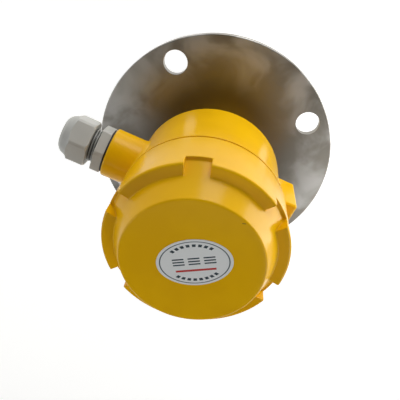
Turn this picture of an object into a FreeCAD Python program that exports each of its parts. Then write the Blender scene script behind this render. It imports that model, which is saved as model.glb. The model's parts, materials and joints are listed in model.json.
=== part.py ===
"""Rotary paddle level switch: cast head with a screw cover, flange, shaft and paddle.

Millimetres. The origin is the centre of the flange's rear face, the face that seats on the
silo. +Z runs up the shaft's axis to the cover, and +X is the side of the cable gland.
"""
import FreeCAD, Part
import math
import os

import Sketcher

doc = FreeCAD.newDocument("rotary_paddle_level_switch")
sheet = doc.addObject("Spreadsheet::Sheet", "Sizes")
sheet_rows = []
kept = []


class Size:
    """A length or angle with the expression that gives it from the sheet."""

    def __init__(self, value, text):
        self.value = value
        self.text = text

    def __add__(self, other):
        other = sized(other)
        return Size(self.value + other.value, f"({self.text} + {other.text})")

    def __sub__(self, other):
        other = sized(other)
        return Size(self.value - other.value, f"({self.text} - {other.text})")

    def __mul__(self, other):
        other = sized(other)
        return Size(self.value * other.value, f"({self.text} * {other.text})")

    def __truediv__(self, other):
        other = sized(other)
        return Size(self.value / other.value, f"({self.text} / {other.text})")

    def __neg__(self):
        return Size(-self.value, f"(0 - {self.text})")


def sized(number):
    """The number as a Size."""
    if isinstance(number, Size):
        return number
    return Size(float(number), f"({float(number)!r})")


def cosine(angle):
    """Cosine of an angle in degrees."""
    angle = sized(angle)
    return Size(math.cos(math.radians(angle.value)), f"cos({angle.text} * 1 deg)")


def sine(angle):
    """Sine of an angle in degrees."""
    angle = sized(angle)
    return Size(math.sin(math.radians(angle.value)), f"sin({angle.text} * 1 deg)")


def hypotenuse(first, second):
    """Distance from the axis to a point that lies first across and second along."""
    first, second = sized(first), sized(second)
    return Size(math.hypot(first.value, second.value),
                f"sqrt({first.text} * {first.text} + {second.text} * {second.text})")


def size(name, value):
    """Put a driving size in the sheet under its own name."""
    sheet_rows.append(name)
    row = len(sheet_rows)
    sheet.set(f"A{row}", name)
    sheet.set(f"B{row}", str(value))
    sheet.setAlias(f"B{row}", name)
    return Size(float(value), f"Sizes.{name}")


# Clearances
fit_gap = size("fit_gap", 0.05)
running_gap = size("running_gap", 0.05)
seat_gap = size("seat_gap", 0.1)
rest_gap = size("rest_gap", 0.3)

# Flange plate
flange_diameter = size("flange_diameter", 155)
flange_thickness = size("flange_thickness", 5)
bolt_inset = size("bolt_inset", 12.5)
bolt_circle = flange_diameter - bolt_inset * 2
bolt_hole = size("bolt_hole", 15)
bolt_angle = size("bolt_angle", 45)
flange_edge_break = size("flange_edge_break", 0.4)

# Shaft
shaft_radius = size("shaft_radius", 5)

# Levels of the neck
gasket_thickness = size("gasket_thickness", 1)
neck_bottom = flange_thickness + gasket_thickness
neck_length = size("neck_length", 23)
neck_thread_depth = size("neck_thread_depth", 22)
floor_step = size("floor_step", 9)
floor_height = neck_bottom + neck_length + floor_step
conduit_bore = size("conduit_bore", 10)

# Shaft sleeve, bushes and seal
sleeve_radius = size("sleeve_radius", 15)
sleeve_wall = size("sleeve_wall", 4)
bush_radius = sleeve_radius - sleeve_wall
bush_shoulder = size("bush_shoulder", 1)
sleeve_bore = bush_radius - bush_shoulder
bush_flange_top = neck_bottom + neck_thread_depth
bush_flange_thickness = size("bush_flange_thickness", 2)
sleeve_top = bush_flange_top - bush_flange_thickness
sleeve_reach = size("sleeve_reach", 70)
upper_bush_length = size("upper_bush_length", 14)
bush_flange_inset = size("bush_flange_inset", 1)
bush_flange_radius = sleeve_radius - bush_flange_inset
lower_bush_length = size("lower_bush_length", 12)
seal_length = size("seal_length", 8)
seal_web = size("seal_web", 1.6)
seal_lip = size("seal_lip", 1.6)
clip_thickness = size("clip_thickness", 1.2)
clip_groove_depth = size("clip_groove_depth", 0.8)
clip_width = size("clip_width", 2.2)
weld_leg = size("weld_leg", 3)
weld_hollow = size("weld_hollow", 1.05)

# Shaft and paddle
shaft_bottom = size("shaft_bottom", -152)
shaft_ring_width = size("shaft_ring_width", 2.4)
shaft_ring_radius = shaft_radius + shaft_ring_width
shaft_ring_thickness = size("shaft_ring_thickness", 1)
shaft_ring_groove = size("shaft_ring_groove", 0.6)
paddle_width = size("paddle_width", 80)
paddle_height = size("paddle_height", 60)
paddle_thickness = size("paddle_thickness", 2)
paddle_lap = size("paddle_lap", 38)
paddle_corner = size("paddle_corner", 8)
flat_depth = size("flat_depth", 0.8)
flat_across = (shaft_radius - flat_depth) * 2
paddle_screw_radius = size("paddle_screw_radius", 2)
paddle_screw_spacing = size("paddle_screw_spacing", 20)
paddle_screw_edge = size("paddle_screw_edge", 9)
screw_head_rim = size("screw_head_rim", 1.8)
screw_head_radius = paddle_screw_radius + screw_head_rim
screw_head_height = size("screw_head_height", 2.6)
nut_rim = size("nut_rim", 2.04)
nut_corner_radius = paddle_screw_radius + nut_rim
nut_height = size("nut_height", 3.2)
screw_point = size("screw_point", 1)

# Coupling and motor
coupling_wall = size("coupling_wall", 3)
coupling_radius = shaft_radius + coupling_wall
coupling_length = size("coupling_length", 16)
coupling_lift = size("coupling_lift", 2)
coupling_bottom = floor_height + coupling_lift
coupling_top = coupling_bottom + coupling_length
shaft_top = coupling_bottom + coupling_length / 2
grub_radius = size("grub_radius", 2)
grub_inset = size("grub_inset", 4)
output_radius = size("output_radius", 3)
output_insert = size("output_insert", 2.5)
output_gap = size("output_gap", 1)
chassis_lift = size("chassis_lift", 4)
chassis_thickness = size("chassis_thickness", 1.5)
chassis_top = floor_height + chassis_lift + chassis_thickness
post_radius = size("post_radius", 3.5)
post_angle = size("post_angle", 5)
post_pilot = size("post_pilot", 1.25)
small_screw_radius = size("small_screw_radius", 1.5)
small_head_radius = size("small_head_radius", 2.75)
small_head_height = size("small_head_height", 1.8)
coupling_headroom = size("coupling_headroom", 2)
torque_plate_bottom = coupling_top + coupling_headroom
torque_plate_lift = torque_plate_bottom - chassis_top
torque_plate_thickness = size("torque_plate_thickness", 1.5)
torque_plate_top = torque_plate_bottom + torque_plate_thickness
motor_offset = size("motor_offset", 8)
gearbox_radius = size("gearbox_radius", 22)
plate_margin = size("plate_margin", 1)
plate_side_margin = size("plate_side_margin", 0.5)
plate_end_half = size("plate_end_half", 9)
plate_corner = size("plate_corner", 4)
plate_tip_corner = size("plate_tip_corner", 3)
plate_waist = size("plate_waist", 9)
plate_setback = size("plate_setback", 1)
torque_plate_front = gearbox_radius - motor_offset - plate_setback
torque_plate_back = gearbox_radius + motor_offset + plate_margin
torque_plate_half = gearbox_radius + plate_side_margin
gearbox_height = size("gearbox_height", 10)
can_inset = size("can_inset", 2)
motor_can_radius = gearbox_radius - can_inset
motor_can_height = size("motor_can_height", 14.5)
motor_can_round = size("motor_can_round", 2)
motor_can_bottom = torque_plate_top + gearbox_height
motor_can_top = motor_can_bottom + motor_can_height
gearbox_spigot = size("gearbox_spigot", 6)
motor_screw_inset = size("motor_screw_inset", 2)
motor_screw_angle = size("motor_screw_angle", 53.13)
motor_screw_circle = gearbox_radius - motor_screw_inset
motor_screw_x = motor_screw_circle * cosine(motor_screw_angle) - motor_offset
motor_screw_y = motor_screw_circle * sine(motor_screw_angle)
motor_screw_bite = size("motor_screw_bite", 3)

# Trip pin, stop, spring and the two switches
trip_pin_inset = size("trip_pin_inset", 7)
trip_pin_x = trip_pin_inset - torque_plate_back
trip_pin_y = size("trip_pin_y", -2.59)
trip_pin_radius = size("trip_pin_radius", 1.5)
trip_pin_gap = size("trip_pin_gap", 1)
trip_pin_length = torque_plate_lift - trip_pin_gap
stop_radius = size("stop_radius", 2)
coil_clearance = size("coil_clearance", 2.2)
coil_radius = coupling_radius + coil_clearance
coil_wire = size("coil_wire", 0.5)
coil_turns = 4
switch_length = size("switch_length", 20)
switch_depth = size("switch_depth", 10)
switch_headroom = size("switch_headroom", 2.5)
switch_height = (torque_plate_lift - switch_headroom) / 2
stop_height = switch_height * 2
switch_end = size("switch_end", 9)
switch_end_x = -switch_end
switch_face = size("switch_face", 9)
switch_face_y = -switch_face
switch_wall_gap = size("switch_wall_gap", 0.83)
cavity_radius = hypotenuse(switch_end + switch_length, switch_face + switch_depth) + switch_wall_gap
chassis_gap = size("chassis_gap", 1.5)
chassis_radius = cavity_radius - chassis_gap
post_inset = size("post_inset", 5.5)
post_circle = cavity_radius - post_inset
lever_pivot_inset = size("lever_pivot_inset", 2)
lever_pivot_x = switch_end_x - lever_pivot_inset
lever_pivot_rise = size("lever_pivot_rise", 1.6)
lever_pivot_y = switch_face_y + lever_pivot_rise
lever_pin_radius = size("lever_pin_radius", 0.45)
lever_roll_radius = size("lever_roll_radius", 0.9)
lever_length = size("lever_length", 16.5)
lever_width = size("lever_width", 4)
lever_thickness = size("lever_thickness", 0.4)
lever_rise = size("lever_rise", 12)
cheek_thickness = size("cheek_thickness", 0.7)
button_radius = size("button_radius", 1)
button_reach = size("button_reach", 6)
button_height = size("button_height", 2.25)
button_tail = size("button_tail", 3)
button_bore_depth = size("button_bore_depth", 4.6)
switch_screw_radius = size("switch_screw_radius", 1)
switch_head_radius = size("switch_head_radius", 1.9)
switch_head_height = size("switch_head_height", 1)
switch_screw_edge = size("switch_screw_edge", 4.5)
switch_screw_depth = size("switch_screw_depth", 6.5)

# Neck and barrel of the cast housing
neck_wall = size("neck_wall", 9)
neck_radius = sleeve_radius + neck_wall
neck_sweep = size("neck_sweep", 7)
neck_slope = size("neck_slope", 4)
barrel_underside = neck_bottom + neck_length + neck_slope
barrel_wall = size("barrel_wall", 6.5)
barrel_radius = cavity_radius + barrel_wall
barrel_corner = size("barrel_corner", 5)
cavity_corner = size("cavity_corner", 4)
shaft_passage_gap = size("shaft_passage_gap", 1.1)
shaft_passage = shaft_ring_radius + shaft_passage_gap

# Cable boss and the plain pad opposite
conduit_lift = size("conduit_lift", 11.5)
conduit_height = floor_height + conduit_lift + conduit_bore
boss_wall = size("boss_wall", 3.8)
boss_radius = conduit_bore + boss_wall
boss_length = size("boss_length", 16.7)
boss_reach = barrel_radius + boss_length
boss_edge = size("boss_edge", 1.2)
boss_root_round = size("boss_root_round", 3)
pad_width = size("pad_width", 43)
pad_height = size("pad_height", 27)
pad_stand = size("pad_stand", 4.4)
pad_reach = barrel_radius + pad_stand
pad_round = size("pad_round", 1.6)

# Mouth of the housing
mouth_margin = size("mouth_margin", 10.4)
mouth_height = conduit_height + boss_radius + mouth_margin
mouth_step = size("mouth_step", 1.1)
mouth_bore = cavity_radius + mouth_step
spigot_length = size("spigot_length", 12)
spigot_end_gap = size("spigot_end_gap", 1.7)
mouth_depth = spigot_length + spigot_end_gap

# Screw cover
cover_seat = mouth_height + rest_gap
spigot_gap = size("spigot_gap", 0.08)
spigot_radius = mouth_bore - spigot_gap
ring_overhang = size("ring_overhang", 2.1)
ring_radius = barrel_radius + ring_overhang
ring_draft = size("ring_draft", 1.1)
lug_radius = ring_radius - ring_draft
ring_height = size("ring_height", 27.7)
lug_width = size("lug_width", 6.3)
drum_root_radius = lug_radius - lug_width
drum_draft = size("drum_draft", 2.8)
drum_face_radius = drum_root_radius - drum_draft
drum_height = size("drum_height", 14.6)
drum_edge = size("drum_edge", 1.3)
lug_edge = size("lug_edge", 0.7)
notch_count = 6
notch_width = size("notch_width", 11.8)
notch_depth = size("notch_depth", 9)
cover_turn = size("cover_turn", -8.8)
spigot_wall = size("spigot_wall", 4.32)
cover_bore = spigot_radius - spigot_wall
cover_wall = size("cover_wall", 3.3)
cover_inner_radius = drum_face_radius - cover_wall
cover_face_thickness = size("cover_face_thickness", 3.5)
cover_inner_round = size("cover_inner_round", 3)
ring_cord_radius = size("ring_cord_radius", 1.15)
ring_groove_width = size("ring_groove_width", 2.6)
ring_groove_depth = size("ring_groove_depth", 2.4)
ring_groove_drop = size("ring_groove_drop", 1.7)

# Oval label
label_length = size("label_length", 35)
label_width = size("label_width", 25)
label_thickness = size("label_thickness", 0.25)
label_turn = size("label_turn", 33.4)
label_shift_x = size("label_shift_x", -0.8)
label_shift_y = size("label_shift_y", -1.7)

# Terminal board
board_gap = size("board_gap", 4)
board_bottom = motor_can_top + board_gap
standoff_length = board_bottom - chassis_top
standoff_corner = size("standoff_corner", 2.9)
board_rim_gap = size("board_rim_gap", 2.4)
board_radius = cover_bore - board_rim_gap
standoff_inset = size("standoff_inset", 3.3)
standoff_circle = board_radius - standoff_inset
standoff_angles = (40, 95, -95, -40)

board_thickness = size("board_thickness", 1.6)
board_top = board_bottom + board_thickness
board_chord_inset = size("board_chord_inset", 4.8)
board_chord = board_radius - board_chord_inset
terminal_count = 5
terminal_pitch = size("terminal_pitch", 7.6)
terminal_depth = size("terminal_depth", 14)
terminal_height = size("terminal_height", 11)
terminal_x = size("terminal_x", 4)
terminal_wall = size("terminal_wall", 1.2)
terminal_step = size("terminal_step", 5)
terminal_screw_radius = size("terminal_screw_radius", 2.6)
terminal_screw_back = size("terminal_screw_back", 1)
terminal_screw_height = size("terminal_screw_height", 2.4)
slot_width = size("slot_width", 0.8)
slot_depth = size("slot_depth", 0.8)

# Cable gland
gland_gasket_thickness = size("gland_gasket_thickness", 1)
gland_gasket_width = size("gland_gasket_width", 2.2)
gland_gasket_radius = conduit_bore + gland_gasket_width
gland_across_flats = size("gland_across_flats", 24)
gland_corner_trim = size("gland_corner_trim", 0.556)
gland_point_radius = gland_across_flats / 2 / cosine(30)
gland_corner_radius = gland_point_radius - gland_corner_trim
gland_turn = size("gland_turn", 12)
collar_thickness = size("collar_thickness", 5.2)
gland_thread_length = size("gland_thread_length", 10)
gland_bore = size("gland_bore", 7)
gland_neck_radius = size("gland_neck_radius", 9.4)
gland_neck_length = size("gland_neck_length", 11)
gland_thread_pitch = size("gland_thread_pitch", 1.5)
gland_thread_depth = size("gland_thread_depth", 0.7)
gland_thread_turns = 6
gland_nut_gap = size("gland_nut_gap", 3.9)
gland_hex_length = size("gland_hex_length", 11)
gland_dome_length = size("gland_dome_length", 5.2)
gland_dome_radius = size("gland_dome_radius", 8.4)
gland_mouth_radius = size("gland_mouth_radius", 6.6)
gland_lip = size("gland_lip", 1.8)
gland_chamfer = size("gland_chamfer", 0.8)
gland_shoulder = size("gland_shoulder", 1)
gland_dome_edge = size("gland_dome_edge", 1.6)
gland_dome_swell = size("gland_dome_swell", 1.9)
gland_dome_round = size("gland_dome_round", 3)
gland_mouth_round = size("gland_mouth_round", 1)
gland_seal_taper = size("gland_seal_taper", 1.5)
gland_neck_chamfer = size("gland_neck_chamfer", 0.5)
gland_seal_bore = size("gland_seal_bore", 5)

# Set screw in the neck
set_screw_radius = size("set_screw_radius", 3)
set_screw_inset = size("set_screw_inset", 0.9)
set_screw_length = neck_wall - seat_gap - set_screw_inset
set_screw_rise = size("set_screw_rise", 8)
set_screw_height = neck_bottom + set_screw_rise
set_screw_socket = size("set_screw_socket", 1.7)

doc.recompute()

# Levels worked out from the driving sizes
cover_top = cover_seat + ring_height + drum_height
output_bottom = shaft_top + output_gap
output_length = torque_plate_top + output_insert - output_bottom
collar_start = boss_reach + gland_gasket_thickness
collar_end = collar_start + collar_thickness
gland_nut_start = collar_end + gland_nut_gap
gland_nut_end = gland_nut_start + gland_hex_length + gland_dome_length

ACROSS = {"x": FreeCAD.Rotation(FreeCAD.Vector(0, 1, 0), 90),
          "y": FreeCAD.Rotation(FreeCAD.Vector(1, 0, 0), -90),
          "z": FreeCAD.Rotation()}


def bind(item, **sizes):
    """Give properties their sizes, each tied to the sheet."""
    for name, value in sizes.items():
        value = sized(value)
        setattr(item, name, value.value)
        item.setExpression(name, value.text)
    return item


def place(item, x=0, y=0, z=0, rotation=None):
    """Put an object at a point that follows the sheet."""
    spot = {"x": sized(x), "y": sized(y), "z": sized(z)}
    base = FreeCAD.Vector(spot["x"].value, spot["y"].value, spot["z"].value)
    item.Placement = FreeCAD.Placement(base, rotation or FreeCAD.Rotation())
    for letter, value in spot.items():
        item.setExpression(f"Placement.Base.{letter}", value.text)
    return item


def add(kind, name):
    """A new object of the document."""
    return doc.addObject(kind, name)


def cylinder(radius, height, x=0, y=0, z=0, axis="z"):
    """A cylinder that starts at a point and runs along +X, +Y or +Z."""
    item = bind(add("Part::Cylinder", "cylinder"), Radius=radius, Height=height)
    return place(item, x, y, z, ACROSS[axis])


def cone(start_radius, end_radius, height, z=0):
    """A cone about the shaft's axis."""
    item = bind(add("Part::Cone", "cone"), Radius1=start_radius, Radius2=end_radius, Height=height)
    return place(item, z=z)


def box(length, width, height, x=0, y=0, z=0):
    """A box centred on a point in X and Y, with its bottom at z."""
    item = bind(add("Part::Box", "box"), Length=length, Width=width, Height=height)
    length, width = sized(length), sized(width)
    return place(item, sized(x) - length / 2, sized(y) - width / 2, z)


def hexagon(corner_radius, height, x=0, y=0, z=0, axis="z", turn=0):
    """A hexagonal prism that starts at a point and runs along +X, +Y or +Z."""
    item = bind(add("Part::Prism", "hexagon"), Circumradius=corner_radius, Height=height)
    item.Polygon = 6
    spin = FreeCAD.Rotation(FreeCAD.Vector(0, 0, 1), sized(turn).value)
    return place(item, x, y, z, ACROSS[axis].multiply(spin))


def fuse(*parts):
    """Several shapes as one solid."""
    item = add("Part::MultiFuse", "fuse")
    item.Shapes = list(parts)
    item.Refine = True
    return item


def cut(base, *tools):
    """A shape less its tools."""
    item = add("Part::Cut", "cut")
    item.Base = base
    item.Tool = tools[0] if len(tools) == 1 else group(*tools)
    item.Refine = True
    return item


def common(first, second):
    """What two shapes share."""
    item = add("Part::MultiCommon", "common")
    item.Shapes = [first, second]
    item.Refine = True
    return item


def group(*parts):
    """Separate solids kept together as one shape."""
    item = add("Part::Compound", "group")
    item.Links = list(parts)
    return item


def rounded(base, radius, chooser):
    """Round the edges that the chooser picks."""
    doc.recompute()
    item = add("Part::Fillet", "rounded")
    item.Base = base
    picked = [(number, radius.value, radius.value)
              for number, edge in enumerate(base.Shape.Edges, 1) if chooser(edge)]
    if not picked:
        raise RuntimeError(f"no edge to round on {base.Label}")
    item.Edges = picked
    return item


def keep(label, item):
    """Name a finished sub-part; its label is its node."""
    item.Label = label
    kept.append(item)
    return item


def corner(before, point, after, radius):
    """Start, end and centre of the arc that rounds a corner, and whether it runs anticlockwise."""
    first = (before - point).normalize()
    second = (after - point).normalize()
    half = first.getAngle(second) / 2
    middle = FreeCAD.Vector(first + second).normalize()
    reach = radius / math.tan(half)
    centre = point + middle * (radius / math.sin(half))
    anticlockwise = first.cross(second).z < 0
    return point + first * reach, point + second * reach, centre, anticlockwise


def draw(sketch, outline):
    """A closed outline: each point is (across, up) or (across, up, rounding)."""
    points = [FreeCAD.Vector(sized(p[0]).value, sized(p[1]).value, 0) for p in outline]
    count = len(points)
    starts, ends, arcs = [], [], {}
    for number, given in enumerate(outline):
        point = points[number]
        begin = finish = point
        if len(given) > 2:
            begin, finish, centre, anticlockwise = corner(
                points[number - 1], point, points[(number + 1) % count], sized(given[2]).value)
            circle = Part.Circle(centre, FreeCAD.Vector(0, 0, 1), sized(given[2]).value)
            first, last = (begin, finish) if anticlockwise else (finish, begin)
            arc = Part.ArcOfCircle(circle, circle.parameter(first), circle.parameter(last))
            arcs[number] = (arc, anticlockwise, given[2])
        ends.append(begin)
        starts.append(finish)
    lines = [sketch.addGeometry(Part.LineSegment(starts[n], ends[(n + 1) % count]))
             for n in range(count)]
    for number, given in enumerate(outline):
        mark = sketch.addGeometry(Part.Point(points[number]), True)
        for kind, value in (("DistanceX", given[0]), ("DistanceY", given[1])):
            value = sized(value)
            rule = sketch.addConstraint(Sketcher.Constraint(kind, mark, 1, value.value))
            sketch.setExpression(f"Constraints[{rule}]", value.text)
        before, after = lines[number - 1], lines[number]
        if number not in arcs:
            sketch.addConstraint(Sketcher.Constraint("Coincident", before, 2, mark, 1))
            sketch.addConstraint(Sketcher.Constraint("Coincident", after, 1, mark, 1))
            continue
        shape, anticlockwise, radius = arcs[number]
        arc = sketch.addGeometry(shape)
        entry, leave = (1, 2) if anticlockwise else (2, 1)
        sketch.addConstraint(Sketcher.Constraint("PointOnObject", mark, 1, before))
        sketch.addConstraint(Sketcher.Constraint("PointOnObject", mark, 1, after))
        sketch.addConstraint(Sketcher.Constraint("Tangent", before, 2, arc, entry))
        sketch.addConstraint(Sketcher.Constraint("Tangent", after, 1, arc, leave))
        radius = sized(radius)
        rule = sketch.addConstraint(Sketcher.Constraint("Radius", arc, radius.value))
        sketch.setExpression(f"Constraints[{rule}]", radius.text)


def sketched(plane, outline):
    """A body with one sketch on an origin plane."""
    body = add("PartDesign::Body", "body")
    sketch = body.newObject("Sketcher::SketchObject", "sketch")
    origin = [item for item in body.Origin.OriginFeatures if item.Role == plane]
    sketch.AttachmentSupport = [(origin[0], "")]
    sketch.MapMode = "FlatFace"
    draw(sketch, outline)
    return body, sketch


def turned(outline, axis="z", x=0, z=0):
    """A turned solid: (radius, height) about Z, or (along, radius) about X."""
    body, sketch = sketched("XZ_Plane", outline)
    spin = body.newObject("PartDesign::Revolution", "revolution")
    spin.Profile = sketch
    spin.ReferenceAxis = (sketch, ["V_Axis" if axis == "z" else "H_Axis"])
    spin.Angle = 360
    sketch.Visibility = False
    body.Tip = spin
    return place(body, x=x, z=z)


def plate(outline, thickness, z):
    """A flat plate cut to an outline in X and Y, with its bottom at z."""
    body, sketch = sketched("XY_Plane", outline)
    pad = body.newObject("PartDesign::Pad", "pad")
    pad.Profile = sketch
    bind(pad, Length=thickness)
    body.Tip = pad
    return place(body, z=z)


def around(count, radius, first):
    """Points evenly spaced on a circle about the axis, with their angles."""
    for number in range(count):
        angle = sized(first) + number * 360 / count
        yield sized(radius) * cosine(angle), sized(radius) * sine(angle), angle


def housing():
    """Cast head: neck, barrel, cable boss and plain pad, hollow and open at the mouth."""
    body = turned([
        (0, neck_bottom), (neck_radius, neck_bottom),
        (neck_radius, neck_bottom + neck_length, neck_sweep),
        (barrel_radius, barrel_underside, barrel_corner),
        (barrel_radius, mouth_height), (0, mouth_height)])
    boss = cylinder(boss_radius, boss_reach - barrel_radius / 2,
                    x=barrel_radius / 2, z=conduit_height, axis="x")
    pad = box(pad_reach, pad_width, pad_height,
              x=-pad_reach / 2, z=conduit_height - pad_height / 2)

    def outer_edge(edge):
        middle = edge.BoundBox.Center
        pad_edge = edge.BoundBox.XMin < -pad_reach.value + 0.1 and edge.Length > 1
        pad_side = (edge.BoundBox.XLength > 2 and edge.BoundBox.YLength < 0.01
                    and edge.BoundBox.ZLength < 0.01 and middle.x < 0)
        return pad_edge or pad_side

    def boss_rim(edge):
        return edge.BoundBox.XMin > boss_reach.value - 0.1

    def boss_root(edge):
        return (edge.BoundBox.XMin > barrel_radius.value / 2 and edge.BoundBox.XLength > 0.5
                and edge.BoundBox.XMax < barrel_radius.value + 0.1
                and edge.BoundBox.YLength > boss_radius.value)

    outside = rounded(fuse(body, boss, pad), pad_round, outer_edge)
    outside = rounded(outside, boss_edge, boss_rim)
    outside = rounded(outside, boss_root_round, boss_root)
    inside = turned([
        (0, floor_height), (cavity_radius, floor_height, cavity_corner),
        (cavity_radius, mouth_height - mouth_depth - 1), (mouth_bore, mouth_height - mouth_depth),
        (mouth_bore, mouth_height + 1), (0, mouth_height + 1)])
    passage = cylinder(shaft_passage, floor_height, z=neck_bottom)
    thread = cylinder(sleeve_radius + fit_gap, neck_thread_depth + 1, z=neck_bottom - 1)
    conduit = cylinder(conduit_bore, boss_reach, x=coupling_radius * 2, z=conduit_height, axis="x")
    screw_hole = cylinder(set_screw_radius + fit_gap, neck_radius, z=set_screw_height, axis="y")
    posts = []
    for x, y, _ in around(3, post_circle, post_angle):
        post = cylinder(post_radius, chassis_lift + 1, x, y, floor_height - 1)
        posts.append(cut(post, cylinder(post_pilot, chassis_lift, x, y, floor_height + 0.5)))
    shell = cut(outside, inside, passage, thread, conduit, screw_hole)
    return keep("housing", fuse(shell, *posts))


def cover():
    """Screw cover: notched ring, tapered drum, flat face and threaded spigot."""
    ring_top = cover_seat + ring_height
    groove_top = cover_seat - ring_groove_drop
    groove_bottom = groove_top - ring_groove_width
    body = turned([
        (cover_bore, cover_seat - spigot_length), (spigot_radius, cover_seat - spigot_length),
        (spigot_radius, groove_bottom), (spigot_radius - ring_groove_depth, groove_bottom),
        (spigot_radius - ring_groove_depth, groove_top), (spigot_radius, groove_top),
        (spigot_radius, cover_seat), (ring_radius, cover_seat, lug_edge),
        (lug_radius, ring_top, lug_edge), (drum_root_radius, ring_top),
        (drum_face_radius, cover_top, drum_edge), (0, cover_top),
        (0, cover_top - cover_face_thickness),
        (cover_inner_radius, cover_top - cover_face_thickness, cover_inner_round)])
    slope = (drum_root_radius - drum_face_radius) / drum_height
    notch_floor = ring_top - notch_depth
    core = cone(drum_root_radius + slope * notch_depth, drum_root_radius - slope,
                notch_depth + 1, z=notch_floor)
    reach = ring_radius + 2
    notches = []
    for number in range(notch_count):
        angle = cover_turn + number * 360 / notch_count
        notch = bind(add("Part::Box", "notch"), Length=reach, Width=notch_width,
                     Height=notch_depth + 1)
        turn = FreeCAD.Rotation(FreeCAD.Vector(0, 0, 1), angle.value)
        half = notch_width / 2
        place(notch, half * sine(angle), -(half * cosine(angle)), notch_floor, turn)
        notches.append(notch)
    return keep("cover", cut(body, cut(fuse(*notches), core)))


def cover_ring():
    """Round cord seal in the groove above the cover's thread."""
    middle = cover_seat - ring_groove_drop - ring_groove_width / 2
    item = bind(add("Part::Torus", "torus"), Radius1=mouth_bore - seat_gap / 2 - ring_cord_radius,
                Radius2=ring_cord_radius)
    return keep("cover_o_ring", place(item, z=middle))


def label():
    """Oval sticker on the cover's face."""
    oval = bind(add("Part::Ellipse", "oval"), MajorRadius=label_length / 2,
                MinorRadius=label_width / 2)
    doc.recompute()
    item = add("Part::Extrusion", "sticker")
    item.Base = oval
    item.Dir = FreeCAD.Vector(0, 0, 1)
    item.DirMode = "Custom"
    item.Solid = True
    bind(item, LengthFwd=label_thickness)
    turn = FreeCAD.Rotation(FreeCAD.Vector(0, 0, 1), label_turn.value)
    return keep("cover_label", place(item, label_shift_x, label_shift_y, cover_top, turn))


def flange():
    """Round mounting plate with four bolt holes."""
    edge = flange_edge_break
    radius = flange_diameter / 2
    body = turned([
        (sleeve_radius + fit_gap, 0), (radius - edge, 0), (radius, edge),
        (radius, flange_thickness - edge), (radius - edge, flange_thickness),
        (sleeve_radius + fit_gap, flange_thickness)])
    holes = [cylinder(bolt_hole / 2, flange_thickness + 2, x, y, -1)
             for x, y, _ in around(4, bolt_circle / 2, bolt_angle)]
    return keep("mounting_flange", cut(body, *holes))


def neck_parts():
    """Gasket under the neck and the grub screw that locks it on the sleeve."""
    ring = turned([(sleeve_radius + fit_gap, flange_thickness), (neck_radius, flange_thickness),
                   (neck_radius, neck_bottom), (sleeve_radius + fit_gap, neck_bottom)])
    keep("neck_gasket", ring)
    start = sleeve_radius + seat_gap
    screw = cylinder(set_screw_radius, set_screw_length, y=start, z=set_screw_height, axis="y")
    socket = hexagon(set_screw_socket, set_screw_length / 2, y=start + set_screw_length / 2,
                     z=set_screw_height, axis="y")
    keep("neck_set_screw", cut(screw, socket))


def sleeve():
    """Stainless sleeve through the flange, stepped inside for the two bushes."""
    bottom = -sleeve_reach
    lower_shoulder = bottom + clip_thickness * 2 + seal_length + lower_bush_length
    groove = bottom + clip_thickness
    tube = turned([
        (bush_radius, bottom), (sleeve_radius, bottom, clip_groove_depth),
        (sleeve_radius, sleeve_top), (bush_radius, sleeve_top),
        (bush_radius, sleeve_top - upper_bush_length),
        (sleeve_bore, sleeve_top - upper_bush_length), (sleeve_bore, lower_shoulder),
        (bush_radius, lower_shoulder), (bush_radius, groove + clip_thickness),
        (bush_radius + clip_groove_depth, groove + clip_thickness),
        (bush_radius + clip_groove_depth, groove), (bush_radius, groove)])
    keep("sleeve_tube", tube)
    bead = turned([(sleeve_radius + fit_gap, 0), (sleeve_radius + weld_leg, 0),
                   (sleeve_radius + weld_hollow, -weld_hollow),
                   (sleeve_radius + fit_gap, -weld_leg)])
    keep("weld_bead", bead)


def bearings():
    """Flanged upper bush, plain lower bush, lip seal and its retaining ring."""
    bore = shaft_radius + running_gap
    outer = bush_radius - fit_gap
    foot = sleeve_top - upper_bush_length
    upper = turned([
        (bore, foot), (outer, foot), (outer, sleeve_top), (bush_flange_radius, sleeve_top),
        (bush_flange_radius, bush_flange_top), (bore, bush_flange_top)])
    keep("upper_bush", upper)
    seal_bottom = -sleeve_reach + clip_thickness * 2
    seal_top = seal_bottom + seal_length
    lower = turned([(bore, seal_top), (outer, seal_top), (outer, seal_top + lower_bush_length),
                    (bore, seal_top + lower_bush_length)])
    keep("lower_bush", lower)
    lip = shaft_radius + seal_lip
    seal = turned([
        (bore, seal_bottom + seal_web), (lip, seal_bottom), (outer, seal_bottom),
        (outer, seal_top), (outer - seal_web, seal_top),
        (outer - seal_web, seal_bottom + seal_web * 1.5),
        (lip + seal_web, seal_bottom + seal_web * 1.5),
        (lip, seal_bottom + seal_web * 3), (bore, seal_bottom + seal_web * 2)])
    keep("shaft_seal", seal)
    outer_edge = bush_radius + clip_groove_depth - fit_gap
    clip_bottom = -sleeve_reach + clip_thickness
    ring = turned([
        (outer_edge - clip_width, clip_bottom), (outer_edge, clip_bottom),
        (outer_edge, clip_bottom + clip_thickness),
        (outer_edge - clip_width, clip_bottom + clip_thickness)])
    gap = box(bush_radius * 2, clip_width * 2, clip_thickness * 2,
              x=bush_radius, z=clip_bottom - clip_thickness / 2)
    keep("seal_retaining_ring", cut(ring, gap))


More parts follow.
